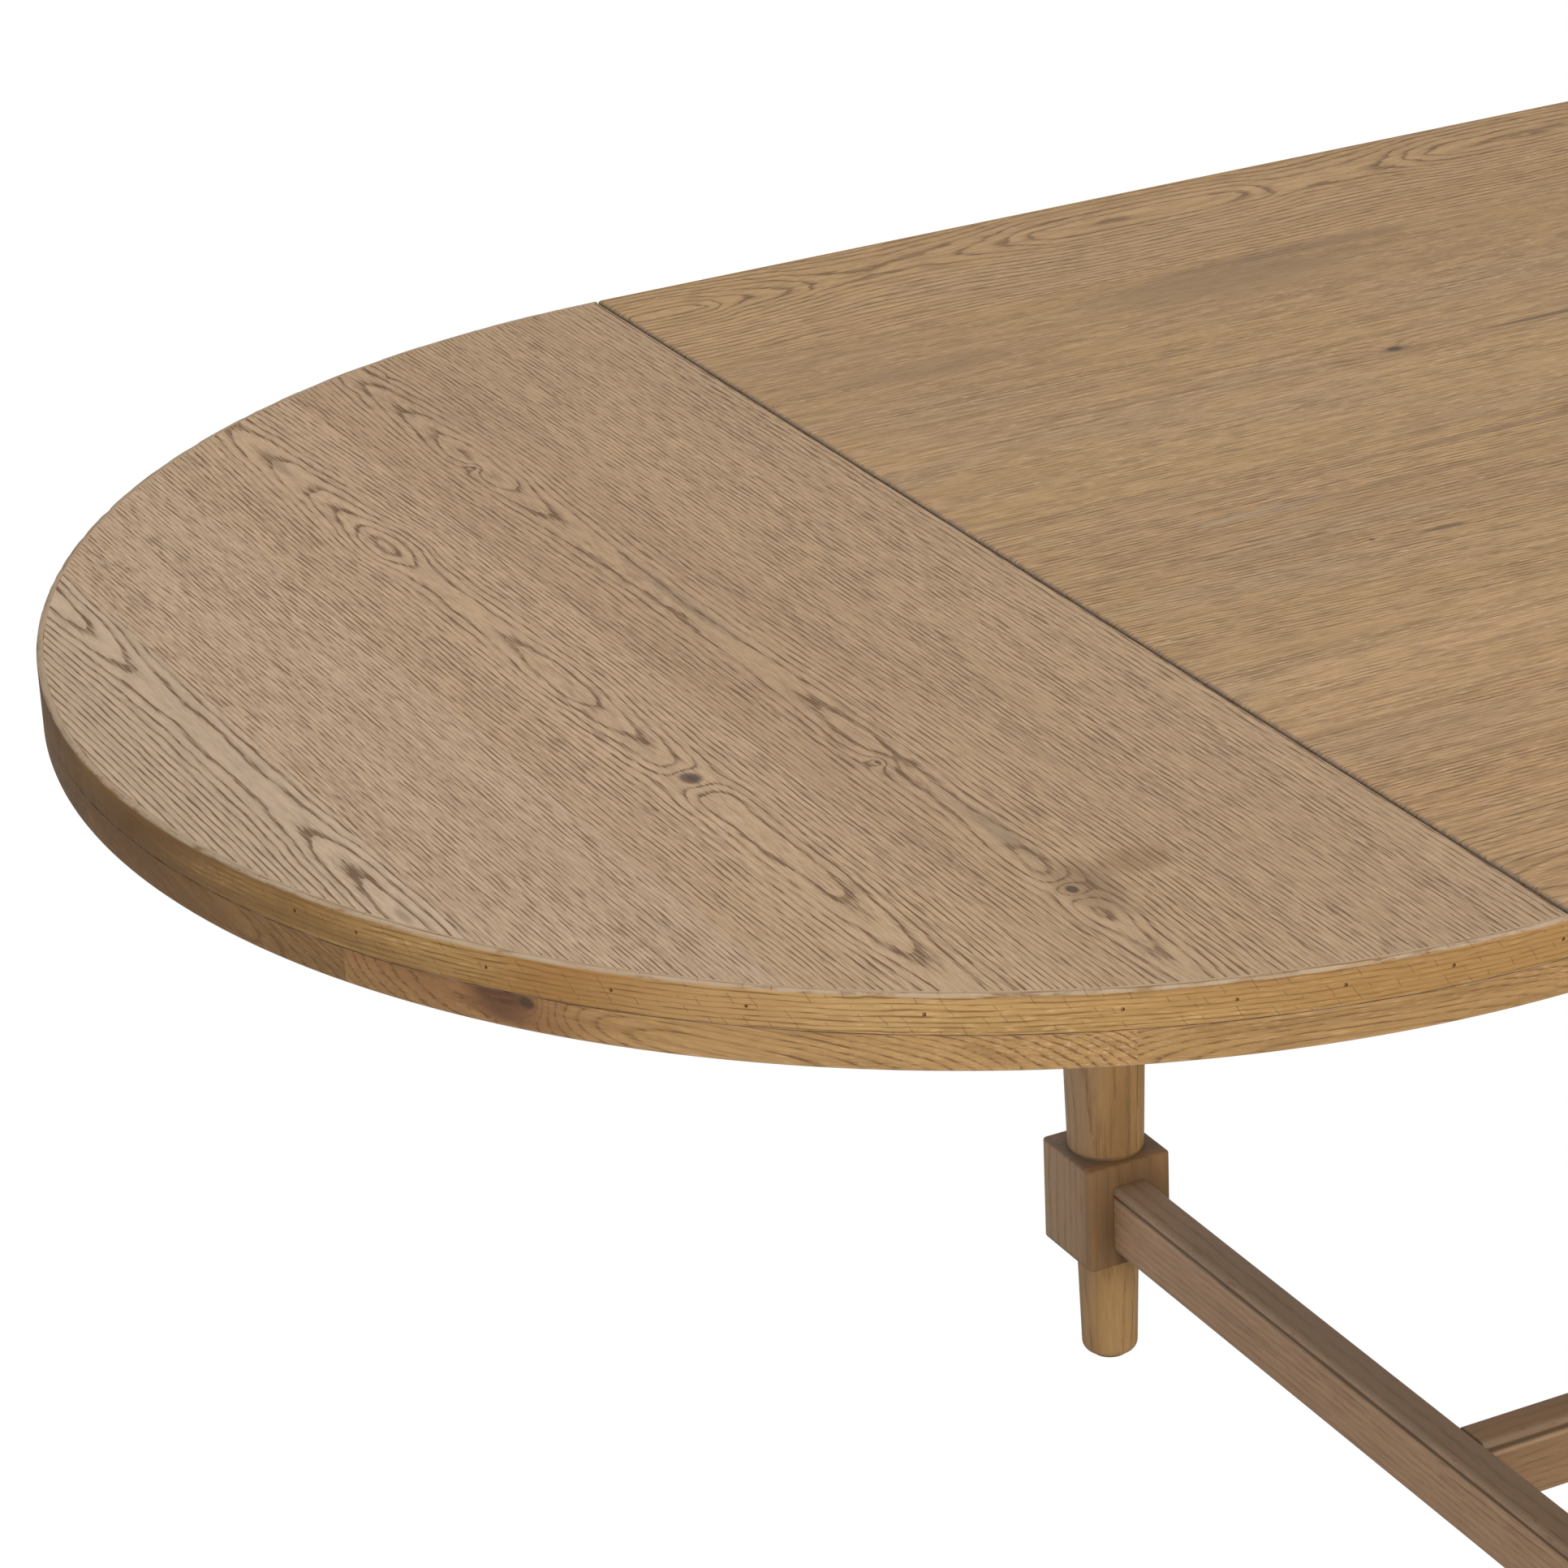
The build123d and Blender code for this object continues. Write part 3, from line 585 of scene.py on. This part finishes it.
rimSegments = [                         # from the back edge round to the front
    {"heart": (0.02, 0.02), "tint": (0.90, 0.90, 0.95)},
    # this segment and the next, on the left leaf facing left and back-left away from the key light, are
    # tinted much darker, and the next has a dark patch: partly painted shade, partly darker wood
    {"heart": (-0.02, 0.03), "tint": (0.40, 0.38, 0.38)},
    {"heart": (0.01, 0.01), "tint": (0.60, 0.54, 0.51), "tilt": 0.25,
     "stainsAndPaintedLight": [((-0.14, 0.0), (0.19, 0.05), (0.175, 0.095, 0.042), 0.75)]},
    {"heart": (-0.005, 0.004), "tint": (0.96, 0.92, 0.88), "tilt": 0.12,
     "knots": [(-0.108, 0.002, 0.0080, 0.016), (-0.088, -0.005, 0.0045, 0.010),
               (0.140, 0.002, 0.0022, 0.005)],
     "stainsAndPaintedLight": [((-0.130, 0.0), (0.110, 0.05), (0.31, 0.143, 0.064), 0.75),
                ((-0.104, 0.0), (0.026, 0.03), (0.13, 0.055, 0.036), 0.95),
                ((-0.155, -0.006), (0.040, 0.006), (0.17, 0.085, 0.045), 0.85),
                ((-0.075, 0.003), (0.024, 0.004), (0.16, 0.080, 0.043), 0.85)]},
    {"heart": (-0.012, 0.001), "tint": (0.82, 0.78, 0.71)},
]


def leafRing(name, radius, thick, low, high):
    deselect()
    bpy.ops.mesh.primitive_circle_add(vertices=edgeBand["sides"], radius=radius,
                                      location=(-jointX, 0, low))
    ring = named(name)
    only(ring)
    bpy.ops.object.mode_set(mode="EDIT")
    bpy.ops.mesh.select_all(action="SELECT")
    bpy.ops.mesh.extrude_region_move(TRANSFORM_OT_translate={"value": (0, 0, high - low)})
    bpy.ops.mesh.select_all(action="SELECT")
    bpy.ops.mesh.normals_make_consistent(inside=False)
    bpy.ops.object.mode_set(mode="OBJECT")
    wall = ring.modifiers.new("wall", "SOLIDIFY")
    wall.thickness = thick
    wall.offset = -1
    bpy.ops.object.modifier_apply(modifier="wall")
    halve(ring, (-leafEnd, 0, 0), (1, 0, 0))
    return ring


def outerArris(radius, height):
    # picks the edges round the outside of a leaf at one height
    def wanted(a, b):
        return all(math.hypot(p.x + jointX, p.y) > radius - 2 * touch and same(p.z, height) for p in (a, b))
    return wanted


def chipArris(piece, depth):
    # wear along the arris: its points sink towards the wood by an uneven amount
    wear = piece.data.attributes["wear"]
    for i, vertex in enumerate(piece.data.vertices):
        if wear.data[i].value > 0.5:
            bite = max(0.0, noise.noise(vertex.co * edgeBand["chipsPerMetre"]) + 0.15)
            vertex.co -= Vector(vertex.normal) * bite * depth


def speckled(name, under, over, scale, rough):
    material, tree = newMaterial(name)
    place = put(tree, "TexCoord").outputs["Object"]
    grit = put(tree, "TexNoise", {"Vector": place, "Scale": scale, "Detail": 2.0})
    surface(tree, {"Base Color": blendColour(tree, grit.outputs[0], under, over), "Roughness": rough})
    return material


def bradHoles(band):
    # shallow holes of the fixing brads, dark inside
    dust = speckled("bradDust", (0.03, 0.02, 0.015), (0.06, 0.04, 0.028), 900.0, 0.8)
    deselect()
    pins = []
    reach = leafRadius - edgeBand["holeDepth"] + edgeBand["pinLength"] / 2
    for degrees in edgeBand["holes"]:
        turn = math.radians(degrees)
        bpy.ops.mesh.primitive_cylinder_add(
            vertices=edgeBand["pinSides"], radius=edgeBand["holeRadius"], depth=edgeBand["pinLength"],
            location=(-jointX + reach * math.cos(turn), reach * math.sin(turn),
                      topZ - edgeBand["holeDrop"]),
            rotation=(math.pi / 2, 0, turn + math.pi / 2))
        pins.append(named("bradPin"))
    only(pins[0])
    for pin in pins:
        pin.select_set(True)
    bpy.ops.object.join()
    pins[0].data.materials.append(dust)
    only(band)
    band.data.materials.append(None)
    band.data.materials.append(dust)
    holes = band.modifiers.new("holes", "BOOLEAN")
    holes.operation = "DIFFERENCE"
    holes.solver = "EXACT"
    holes.material_mode = "TRANSFER"
    holes.object = pins[0]
    bpy.ops.object.modifier_apply(modifier="holes")
    bpy.data.objects.remove(pins[0])
    return dust


def makeLeafBands():
    outer = leafRadius - edgeBand["inset"]
    band = leafRing("leftLeafBand", outer, bandThick - edgeBand["inset"], layerZ, topZ)
    ease(band, outerArris(outer, topZ), edgeBand["arris"])
    ease(band, outerArris(outer, layerZ), edgeBand["lowArris"], segments=2)
    chipArris(band, edgeBand["chip"])
    dust = bradHoles(band)
    smooth(band)
    other = copyOf(band, "rightLeafBand", halfTurn)
    for side, sign, piece in (("left", -1, band), ("right", 1, other)):
        wood = oak(f"{side}LeafOakBand", "arc", edgeBand["seed"] + sign, side=-sign,
                   centre=(sign * jointX, topZ - edgeBand["halfHeight"]), **bandOak)
        dress(piece, wood, f"{side}_leaf", f"{side}_leaf_edge_band")
        piece.data.materials.append(dust)
    print("leaf bands made")


def makeLeafRims():
    outer = leafRadius - edgeBand["inset"]
    ring = leafRing("leafRim", outer, rimWidth, rimZ, layerZ)
    ease(ring, outerArris(outer, rimZ), rimShape["lowArris"], segments=3)
    ease(ring, outerArris(outer, layerZ), rimShape["topArris"], segments=2)
    turns = [math.radians(degrees) for degrees in [90] + rimShape["joints"] + [270]]
    middle = (-jointX, 0, 0)
    for number, look in enumerate(rimSegments, 1):
        first, last = turns[number - 1], turns[number]
        segment = copyOf(ring, f"leftLeafRim{number}", Matrix())
        if number > 1:
            halve(segment, middle, (math.sin(first), -math.cos(first), 0))
        if number < len(rimSegments):
            halve(segment, middle, (-math.sin(last), math.cos(last), 0))
        smooth(segment)
        other = copyOf(segment, f"rightLeafRim{number}", halfTurn)
        facing = (first + last) / 2
        plain = {**look, "knots": (), "stainsAndPaintedLight": ()}     # the right rim is sawn from clear wood
        for side, sign, piece, turn, choice in (("left", -1, segment, facing, look),
                                                ("right", 1, other, facing + math.pi, plain)):
            wood = oak(f"{side}RimOak{number}", "chord", rimShape["seed"] + number * 2 + sign,
                       centre=(sign * jointX, (rimZ + layerZ) / 2), angle=turn, **{**rimOak, **choice})
            dress(piece, wood, f"{side}_leaf", f"{side}_leaf_rim")
    bpy.data.objects.remove(ring)
    print("leaf rims made")


# the centre's boards, and the straight bands and rims on its long sides

centreShape = {"endArris": 0.0028, "edgeArris": 0.002, "seed": 40}
centreOak = {"pale": (0.495, 0.314, 0.160), "deep": (0.430, 0.264, 0.124), "line": (0.18, 0.104, 0.048),
             "cloud": 0.5, "cloudPale": (0.50, 0.312, 0.138), "cloudDark": (0.385, 0.266, 0.162),
             "lines": 1.1, "pores": 1.15, "flecks": 0.45, "streaks": 0.8, "mottle": 0.55, "ring": 0.0030,
             "wander": 0.006, "wearMix": 0.6, "wornPale": (0.20, 0.150, 0.110),
             "wornDark": (0.09, 0.06, 0.045), "bump": 0.2}
sooty = (0.22, 0.145, 0.085)
centreBoards = [                        # from the back edge to the front
    {"heart": (0.031, 0.004), "ring": 0.0050, "lines": 1.6, "pores": 0.5, "streaks": 0.2, "open": 0.002,
     "wander": 0.012, "shake": 0.0060, "cloud": 0.25, "tint": (0.98, 0.965, 0.955),
     "waves": [(-0.71, 0.003), (-0.685, 0.0), (-0.65, 0.008), (-0.6, 0.018), (-0.54, 0.026),
               (-0.5, 0.024), (-0.45, 0.016), (-0.36, 0.006), (-0.28, 0.010), (-0.23, 0.018),
               (-0.15, 0.008), (-0.077, 0.0), (0.05, 0.016), (0.2, 0.027), (0.4, 0.006),
               (0.55, 0.018), (0.71, 0.001)]},
    {"heart": (0.10, 0.05), "tint": (0.95, 0.94, 0.93), "lines": 0.5, "streaks": 0.6,
     "stainsAndPaintedLight": [((-0.38, 0.02), (0.14, 0.035), (0.28, 0.185, 0.10), 0.65),
                ((-0.32, 0.045), (0.12, 0.012), sooty, 0.55),
                ((-0.6, -0.02), (0.1, 0.02), (0.29, 0.19, 0.105), 0.5)]},
    {"heart": (-0.12, 0.05), "tint": (1.02, 1.01, 1.0), "lines": 0.6, "ring": 0.0045,
     "knots": [(-0.362, -0.0365, 0.0052, 0.012)],
     "stainsAndPaintedLight": [((-0.362, -0.0365), (0.016, 0.008), sooty, 0.8),
                ((-0.24, -0.037), (0.085, 0.0032), (0.15, 0.095, 0.055), 0.85),
                ((-0.55, -0.03), (0.14, 0.003), sooty, 0.5)]},
    {"heart": (0.09, 0.05), "tint": (1.02, 1.02, 1.02), "lines": 0.5, "streaks": 0.6},
    {"heart": (-0.10, 0.06), "tint": (0.99, 0.98, 0.98), "flecks": 0.35,
     "stainsAndPaintedLight": [((-0.57, -0.006), (0.06, 0.006), (0.40, 0.31, 0.22), 0.5),
                ((-0.4, 0.03), (0.2, 0.005), sooty, 0.4)]},
    {"heart": (0.12, 0.05), "tint": (1.02, 1.01, 1.0), "tilt": 0.05, "streaks": 0.45,
     "knots": [(-0.536, 0.008, 0.0018, 0.003)],
     "stainsAndPaintedLight": [((-0.61, 0.031), (0.07, 0.014), (0.30, 0.22, 0.145), 0.6),
                ((-0.495, 0.004), (0.022, 0.0028), (0.12, 0.08, 0.05), 0.8)]},
    {"heart": (-0.11, 0.06), "tint": (1.07, 1.06, 1.04), "lines": 0.6},
    {"heart": (0.13, 0.05), "tint": (1.06, 1.02, 0.98)},
    {"heart": (-0.02, 0.008), "tint": (1.01, 0.98, 0.92), "ring": 0.0045,
     "waves": [(-0.71, 0.012), (-0.4, 0.002), (-0.1, 0.014), (0.2, 0.003), (0.5, 0.015), (0.71, 0.004)]},
]
sideEdges = {                           # its look, its slot, the height of its arris and its seed
    "edge_band": (bandOak, "edge_oak", topZ, 69),
    "rim": (rimOak, "rim_oak", rimZ, 63),
}


def onEnd(a, b, reach):
    return same(a.x, b.x) and all(same(abs(p.x), reach) and same(p.z, topZ) for p in (a, b))


def makeCentreBoards():
    for number, look in enumerate(centreBoards, 1):
        low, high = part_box(f"centre_board_{number}")
        board = block(f"centreBoard{number}", low, high)
        ease(board, lambda a, b: onEnd(a, b, high.x), centreShape["endArris"], run=1)
        smooth(board)
        middle = (low.y + high.y) / 2
        wood = oak(f"centreOak{number}", "x", centreShape["seed"] + number, centre=(middle, topZ),
                   end=centreEnd, **{**centreOak, **look})
        dress(board, wood, "frame", f"centre_board_{number}")
    print("centre boards made")


def makeSideEdge(side, name):
    look, slot, arrisZ, seed = sideEdges[name]
    low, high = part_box(f"{side}_{name}")
    piece = block(f"{side}{name.title().replace('_', '')}", low, high)
    outside = high.y if side == "back" else low.y

    def worn(a, b):
        # the long outer arris and the outer corners; a band's ends too
        onFace = same(a.y, outside) and same(b.y, outside)
        onArris = same(a.z, arrisZ) and same(b.z, arrisZ)
        upright = same(a.x, b.x) and not same(a.z, b.z)
        return onEnd(a, b, high.x) or onFace and (onArris or upright)

    ease(piece, worn, centreShape["edgeArris"])
    smooth(piece)
    choice = {"heart": (0.02, 0.03), **look, "stainsAndPaintedLight": (), "tint": (0.76, 0.76, 0.78)}
    wood = oak(f"{side}Oak{name}", "x", seed, centre=((low.y + high.y) / 2, high.z), **choice)
    dress(piece, wood, "frame", f"{side}_{name}")


def makeSideEdges():
    for side in ("back", "front"):
        for name in sideEdges:
            makeSideEdge(side, name)
    print("side edges made")


# turned legs, each with its square head and block

legShape = {"footRadius": 0.0184, "footTop": 0.0205, "footRound": 0.006,
            "shaftFoot": 0.0252, "shaftTop": 0.037, "sides": 96, "bite": 0.001,
            "blockLow": 0.080, "blockHigh": 0.1545, "blockHalf": 0.0305, "blockEase": 0.0022,
            "headHeight": 0.090, "headEase": 0.0015, "seed": 80}
legOak = {"pale": (0.60, 0.350, 0.135), "deep": (0.45, 0.255, 0.095), "line": (0.17, 0.090, 0.038),
          "ring": 0.0048, "lines": 0.5, "pores": 0.35, "streaks": 0.6, "wander": 0.004,
          "wearMix": 0.15, "rough": 0.5, "bump": 0.2}
legPaintedLight = [                           # painted light and shade on the leg and its block; places go up the leg, then across from its middle and out in depth
    # painted shade: the left side of the leg and its block made greyer and darker, as the side turned from
    # the key light
    ((0.3, -0.034), (3.0, 0.022), (0.42, 0.275, 0.165), 0.8),
    # painted light: the foot made lighter, standing in for light thrown up from the white floor
    ((0.02, 0.004), (0.075, 0.03), (0.80, 0.50, 0.22), 0.55),
    # painted shade: the block's top, under the tabletop and against the shaft, made dark
    ((0.1545, 0.0, 0.0), (0.0035, 0.08, 0.08), (0.15, 0.110, 0.080), 0.85),
    # painted shade: a dark band along the block's lower edge, where it overhangs the foot
    ((0.0795, 0.0, 0.0), (0.0050, 0.08, 0.08), (0.16, 0.100, 0.055), 0.7),
]


def cone(name, low, high, lowRadius, highRadius):
    deselect()
    bpy.ops.mesh.primitive_cone_add(vertices=legShape["sides"], radius1=lowRadius, radius2=highRadius,
                                    depth=high - low, location=(0, 0, (low + high) / 2))
    return named(name)


def weld(piece, others):
    for other in others:
        only(piece)
        joined = piece.modifiers.new("joined", "BOOLEAN")
        joined.operation = "UNION"
        joined.object = other
        joined.solver = "EXACT"
        bpy.ops.object.modifier_apply(modifier="joined")
        bpy.data.objects.remove(other)


def legPattern():
    # one leg about the origin; each part bites a little into the next
    low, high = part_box("left_back_leg")
    shape = legShape
    headHalf = (high.x - low.x) / 2
    headLow = high.z - shape["headHeight"]
    half, bite = shape["blockHalf"], shape["bite"]
    foot = cone("leg", low.z, shape["blockLow"] + bite, shape["footRadius"], shape["footTop"])
    ease(foot, lambda a, b: same(a.z, low.z) and same(b.z, low.z), shape["footRound"], segments=6)
    shaft = cone("shaft", shape["blockHigh"] - bite, headLow + bite, shape["shaftFoot"], shape["shaftTop"])
    square = block("square", (-half, -half, shape["blockLow"]), (half, half, shape["blockHigh"]))
    ease(square, lambda a, b: True, shape["blockEase"], segments=3)
    head = block("head", (-headHalf, -headHalf, headLow), (headHalf, headHalf, high.z))
    ease(head, lambda a, b: True, shape["headEase"], segments=2)
    weld(foot, [square, shaft, head])
    smooth(foot, degrees=30)
    return foot


def makeLegs():
    pattern = legPattern()
    for side, signX in (("left", -1), ("right", 1)):
        for row, signY in (("back", 1), ("front", -1)):
            node = f"{side}_{row}_leg"
            low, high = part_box(node)
            middle = (low + high) / 2
            turned = copyOf(pattern, f"{side}{row.title()}Leg",
                            Matrix.Translation((middle.x, middle.y, 0)))
            inner = -legShape["blockHalf"] * signY      # the block's face that a stretcher enters
            # painted contact shadow mixed with stain: a broad darkening of the block face that a stretcher
            # enters, and a darker halo round the stretcher's end
            entryShadeAndStain = [((0.117, 0.0, inner), (0.12, 0.09, 0.012), (0.34, 0.185, 0.075), 0.85),
                     ((0.108, 0.004, inner), (0.062, 0.042, 0.010), (0.12, 0.075, 0.042), 0.75)]
            wood = oak(f"{node}Oak", "z", legShape["seed"] + signX * 2 + signY, heart=(0.04, 0.05),
                       centre=(middle.x, middle.y), stainsAndPaintedLight=legPaintedLight + entryShadeAndStain, **legOak)
            dress(turned, wood, "frame", node)
    bpy.data.objects.remove(pattern)
    print("legs made")


# the three stretchers

stretcherShape = {"arris": 0.0035, "shoulderGap": 0.0005}
stretcherOak = {"pale": (0.58, 0.375, 0.230), "deep": (0.45, 0.285, 0.170), "line": (0.17, 0.102, 0.06),
                "ring": 0.0045, "lines": 0.45, "pores": 0.4, "wearMix": 0.7, "rough": 0.5, "bump": 0.2,
                "wornPale": (0.36, 0.28, 0.20), "wornDark": (0.085, 0.06, 0.045)}
# top is the colour of a stretcher's top face, darker and greyer than its sides: painted shade from the
# tabletop above
longLook = {"axis": 0, "grain": "x", "tint": (0.86, 0.80, 0.68), "top": (0.44, 0.275, 0.150)}
endLook = {"axis": 1, "grain": "y", "tint": (1.08, 1.04, 1.01), "top": (0.375, 0.262, 0.172)}
stretchers = {
    "left_end_stretcher": {"seed": 108, **endLook},
    "right_end_stretcher": {"seed": 109, **endLook},
    "long_stretcher": {"seed": 104, **longLook},
}
stretcherGlazeShadeAndHighlight = [                     # painted shade mixed with dark glaze under both top arrises, and a pale line below one that is a painted highlight mixed with worn finish
    ((0, -0.0125, -0.0060), (9, 0.006, 0.0024), (0.12, 0.075, 0.042), 0.9),
    ((0, 0.0125, -0.0060), (9, 0.006, 0.0024), (0.12, 0.075, 0.042), 0.9),
    ((0, -0.0125, -0.0100), (9, 0.006, 0.0014), (0.60, 0.420, 0.270), 0.75),
]


def halfLength(axis):
    # the long stretcher stops at the end stretchers, and those stop at the legs' blocks
    if axis == 0:
        return abs(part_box("left_end_stretcher")[1].x)
    legLow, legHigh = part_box("left_back_leg")
    return (legLow.y + legHigh.y) / 2 - legShape["blockHalf"] - stretcherShape["shoulderGap"]


def makeStretchers():
    for node, look in stretchers.items():
        axis = look["axis"]
        low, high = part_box(node)
        low[axis], high[axis] = -halfLength(axis), halfLength(axis)
        bar = block(node.replace("_", " ").title().replace(" ", ""), low, high)
        ease(bar, lambda a, b: not same(a[axis], b[axis]), stretcherShape["arris"], run=axis)
        smooth(bar)
        middle = (low + high) / 2
        # painted shade: the stretcher's top face, under the tabletop, made darker and greyer than its sides
        shadedTop = ((0, 0.0, 0.001), (9, 0.05, 0.0050), look["top"], 0.85)
        wood = oak(node + "Oak", look["grain"], look["seed"], heart=(0.03, 0.06),
                   centre=(middle[1 - axis], high.z), stainsAndPaintedLight=[shadedTop] + stretcherGlazeShadeAndHighlight,
                   tint=look["tint"], **stretcherOak)
        dress(bar, wood, "frame", node)
    print("stretchers made")


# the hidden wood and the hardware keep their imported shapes

hiddenOak = {"pale": (0.42, 0.28, 0.16), "deep": (0.34, 0.22, 0.12), "lines": 0.4, "pores": 0.5,
             "wearMix": 0.0, "heart": (0.05, 0.06)}


def metal(name, colour, rough):
    material, tree = newMaterial(name)
    place = put(tree, "TexCoord").outputs["Object"]
    cloud = put(tree, "TexNoise", {"Vector": place, "Scale": 60.0, "Detail": 4.0})
    scratch = put(tree, "TexNoise", {"Vector": place, "Scale": 900.0, "Detail": 2.0})
    tint = blendColour(tree, cloud.outputs[0], scaled(colour, 0.75), colour)
    roughness = remap(tree, scratch.outputs[0], 0.3, 0.7, rough - 0.08, rough + 0.12)
    relief = put(tree, "Bump", {"Height": scratch.outputs[0], "Strength": 0.15, "Distance": 0.0002})
    surface(tree, {"Base Color": tint, "Roughness": roughness, "Metallic": 1.0,
                   "Normal": relief.outputs[0]})
    return material


def finishHiddenPieces():
    darkSteel = metal("darkPlate", (0.20, 0.19, 0.18), 0.42)
    zinc = metal("zincPlate", (0.50, 0.48, 0.44), 0.38)
    longWood = oak("apronOakX", "x", 101, centre=(0, topZ), **hiddenOak)
    crossWood = oak("apronOakY", "y", 102, centre=(0, topZ), **hiddenOak)
    nylon = speckled("glideNylon", (0.30, 0.215, 0.14), (0.38, 0.28, 0.185), 700.0, 0.6)
    finishes = [                        # a node takes the first finish that has a word of its name
        (("stay",), darkSteel),
        (("hinge", "screws", "bolts", "clips"), zinc),
        (("front_apron", "back_apron"), longWood),
        (("apron", "batten", "brace"), crossWood),
        (("foot_glides",), nylon),
    ]
    for name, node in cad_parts.items():
        for words, finish in finishes:
            if any(word in name for word in words):
                node.data.materials.clear()
                node.data.materials.append(finish)
                break
    print("hidden pieces dressed")


# floor, light and camera; the camera's places are in leaf radii and its turns in radians

studio = {"floorSize": 60.0, "floorTone": 0.8, "sky": 0.42}
softBoxes = {
    "keyBox": {"place": (-0.9, -4.2, 1.9), "aim": (-0.5, 0, 0.55), "size": (2.4, 2.4), "power": 95,
               "colour": (1.0, 0.98, 0.95)},
    "topBox": {"place": (-0.6, 0.3, 3.4), "aim": (-0.6, 0, 0.7), "size": (3.5, 2.5), "power": 48,
               "colour": (1, 1, 1)},
}
cameraStand = {"aimX": -0.4548, "aimY": -0.3685, "distance": 5.0277, "around": -0.4562,
               "above": 0.4188, "roll": -0.0481, "lens": 123.1, "sensor": 36, "clip": (0.05, 100)}


def makeFloor():
    deselect()
    bpy.ops.mesh.primitive_plane_add(size=studio["floorSize"])
    floor = named("studioFloor")
    paper, tree = newMaterial("studioPaper")
    tone = studio["floorTone"]
    matt = put(tree, "BsdfDiffuse", {"Color": (tone, tone, tone, 1)})
    glow = put(tree, "Emission", {"Color": (1, 1, 1, 1), "Strength": 1.0})
    path = put(tree, "LightPath")
    mixed = put(tree, "MixShader", {0: path.outputs["Is Camera Ray"], 1: matt.outputs[0],
                                    2: glow.outputs[0]})
    put(tree, "OutputMaterial", {"Surface": mixed.outputs[0]})
    floor.data.materials.append(paper)
    print("floor made")


def makeSky():
    world = bpy.data.worlds.new("studio")
    bpy.context.scene.world = world
    world.use_nodes = True
    tree = world.node_tree
    tree.nodes.clear()
    path = put(tree, "LightPath")
    strength = remap(tree, path.outputs["Is Camera Ray"], 0, 1, studio["sky"], 1.0, "LINEAR")
    sky = put(tree, "Background", {"Color": (1, 1, 1, 1), "Strength": strength})
    put(tree, "OutputWorld", {"Surface": sky.outputs[0]})
    print("sky made")


def makeLights():
    for name, box in softBoxes.items():
        light = bpy.data.lights.new(name, "AREA")
        light.shape = "RECTANGLE"
        light.size, light.size_y = box["size"]
        light.energy = box["power"]
        light.color = box["colour"]
        lamp = bpy.data.objects.new(name, light)
        bpy.context.scene.collection.objects.link(lamp)
        lamp.location = box["place"]
        facing = Vector(box["aim"]) - Vector(box["place"])
        lamp.rotation_euler = facing.to_track_quat("-Z", "Y").to_euler()
        lamp.visible_camera = False
    print("lights made")


def makeCamera():
    stand = cameraStand
    view = bpy.data.cameras.new("tableCamera")
    view.lens = stand["lens"]
    view.sensor_width = stand["sensor"]
    view.clip_start, view.clip_end = stand["clip"]
    camera = bpy.data.objects.new("tableCamera", view)
    bpy.context.scene.collection.objects.link(camera)
    around, above, roll = stand["around"], stand["above"], stand["roll"]
    level = math.cos(above)
    back = Vector((math.sin(around) * level, -math.cos(around) * level, math.sin(above)))
    aim = Vector((-jointX + stand["aimX"] * leafRadius, stand["aimY"] * leafRadius, topZ))
    right = Vector((0, 0, 1)).cross(back).normalized()
    up = back.cross(right)
    turnedRight = math.cos(roll) * right + math.sin(roll) * up
    turnedUp = -math.sin(roll) * right + math.cos(roll) * up
    pose = Matrix((turnedRight, turnedUp, back)).transposed().to_4x4()
    pose.translation = aim + back * stand["distance"] * leafRadius
    camera.matrix_world = pose
    bpy.context.scene.camera = camera
    bpy.context.scene.view_settings.view_transform = "Standard"
    print("camera made")


makeFloor()
makeSky()
makeLights()
makeCamera()
makeLeafBoards()
makeLeafBands()
makeLeafRims()
makeCentreBoards()
makeSideEdges()
makeLegs()
makeStretchers()
finishHiddenPieces()
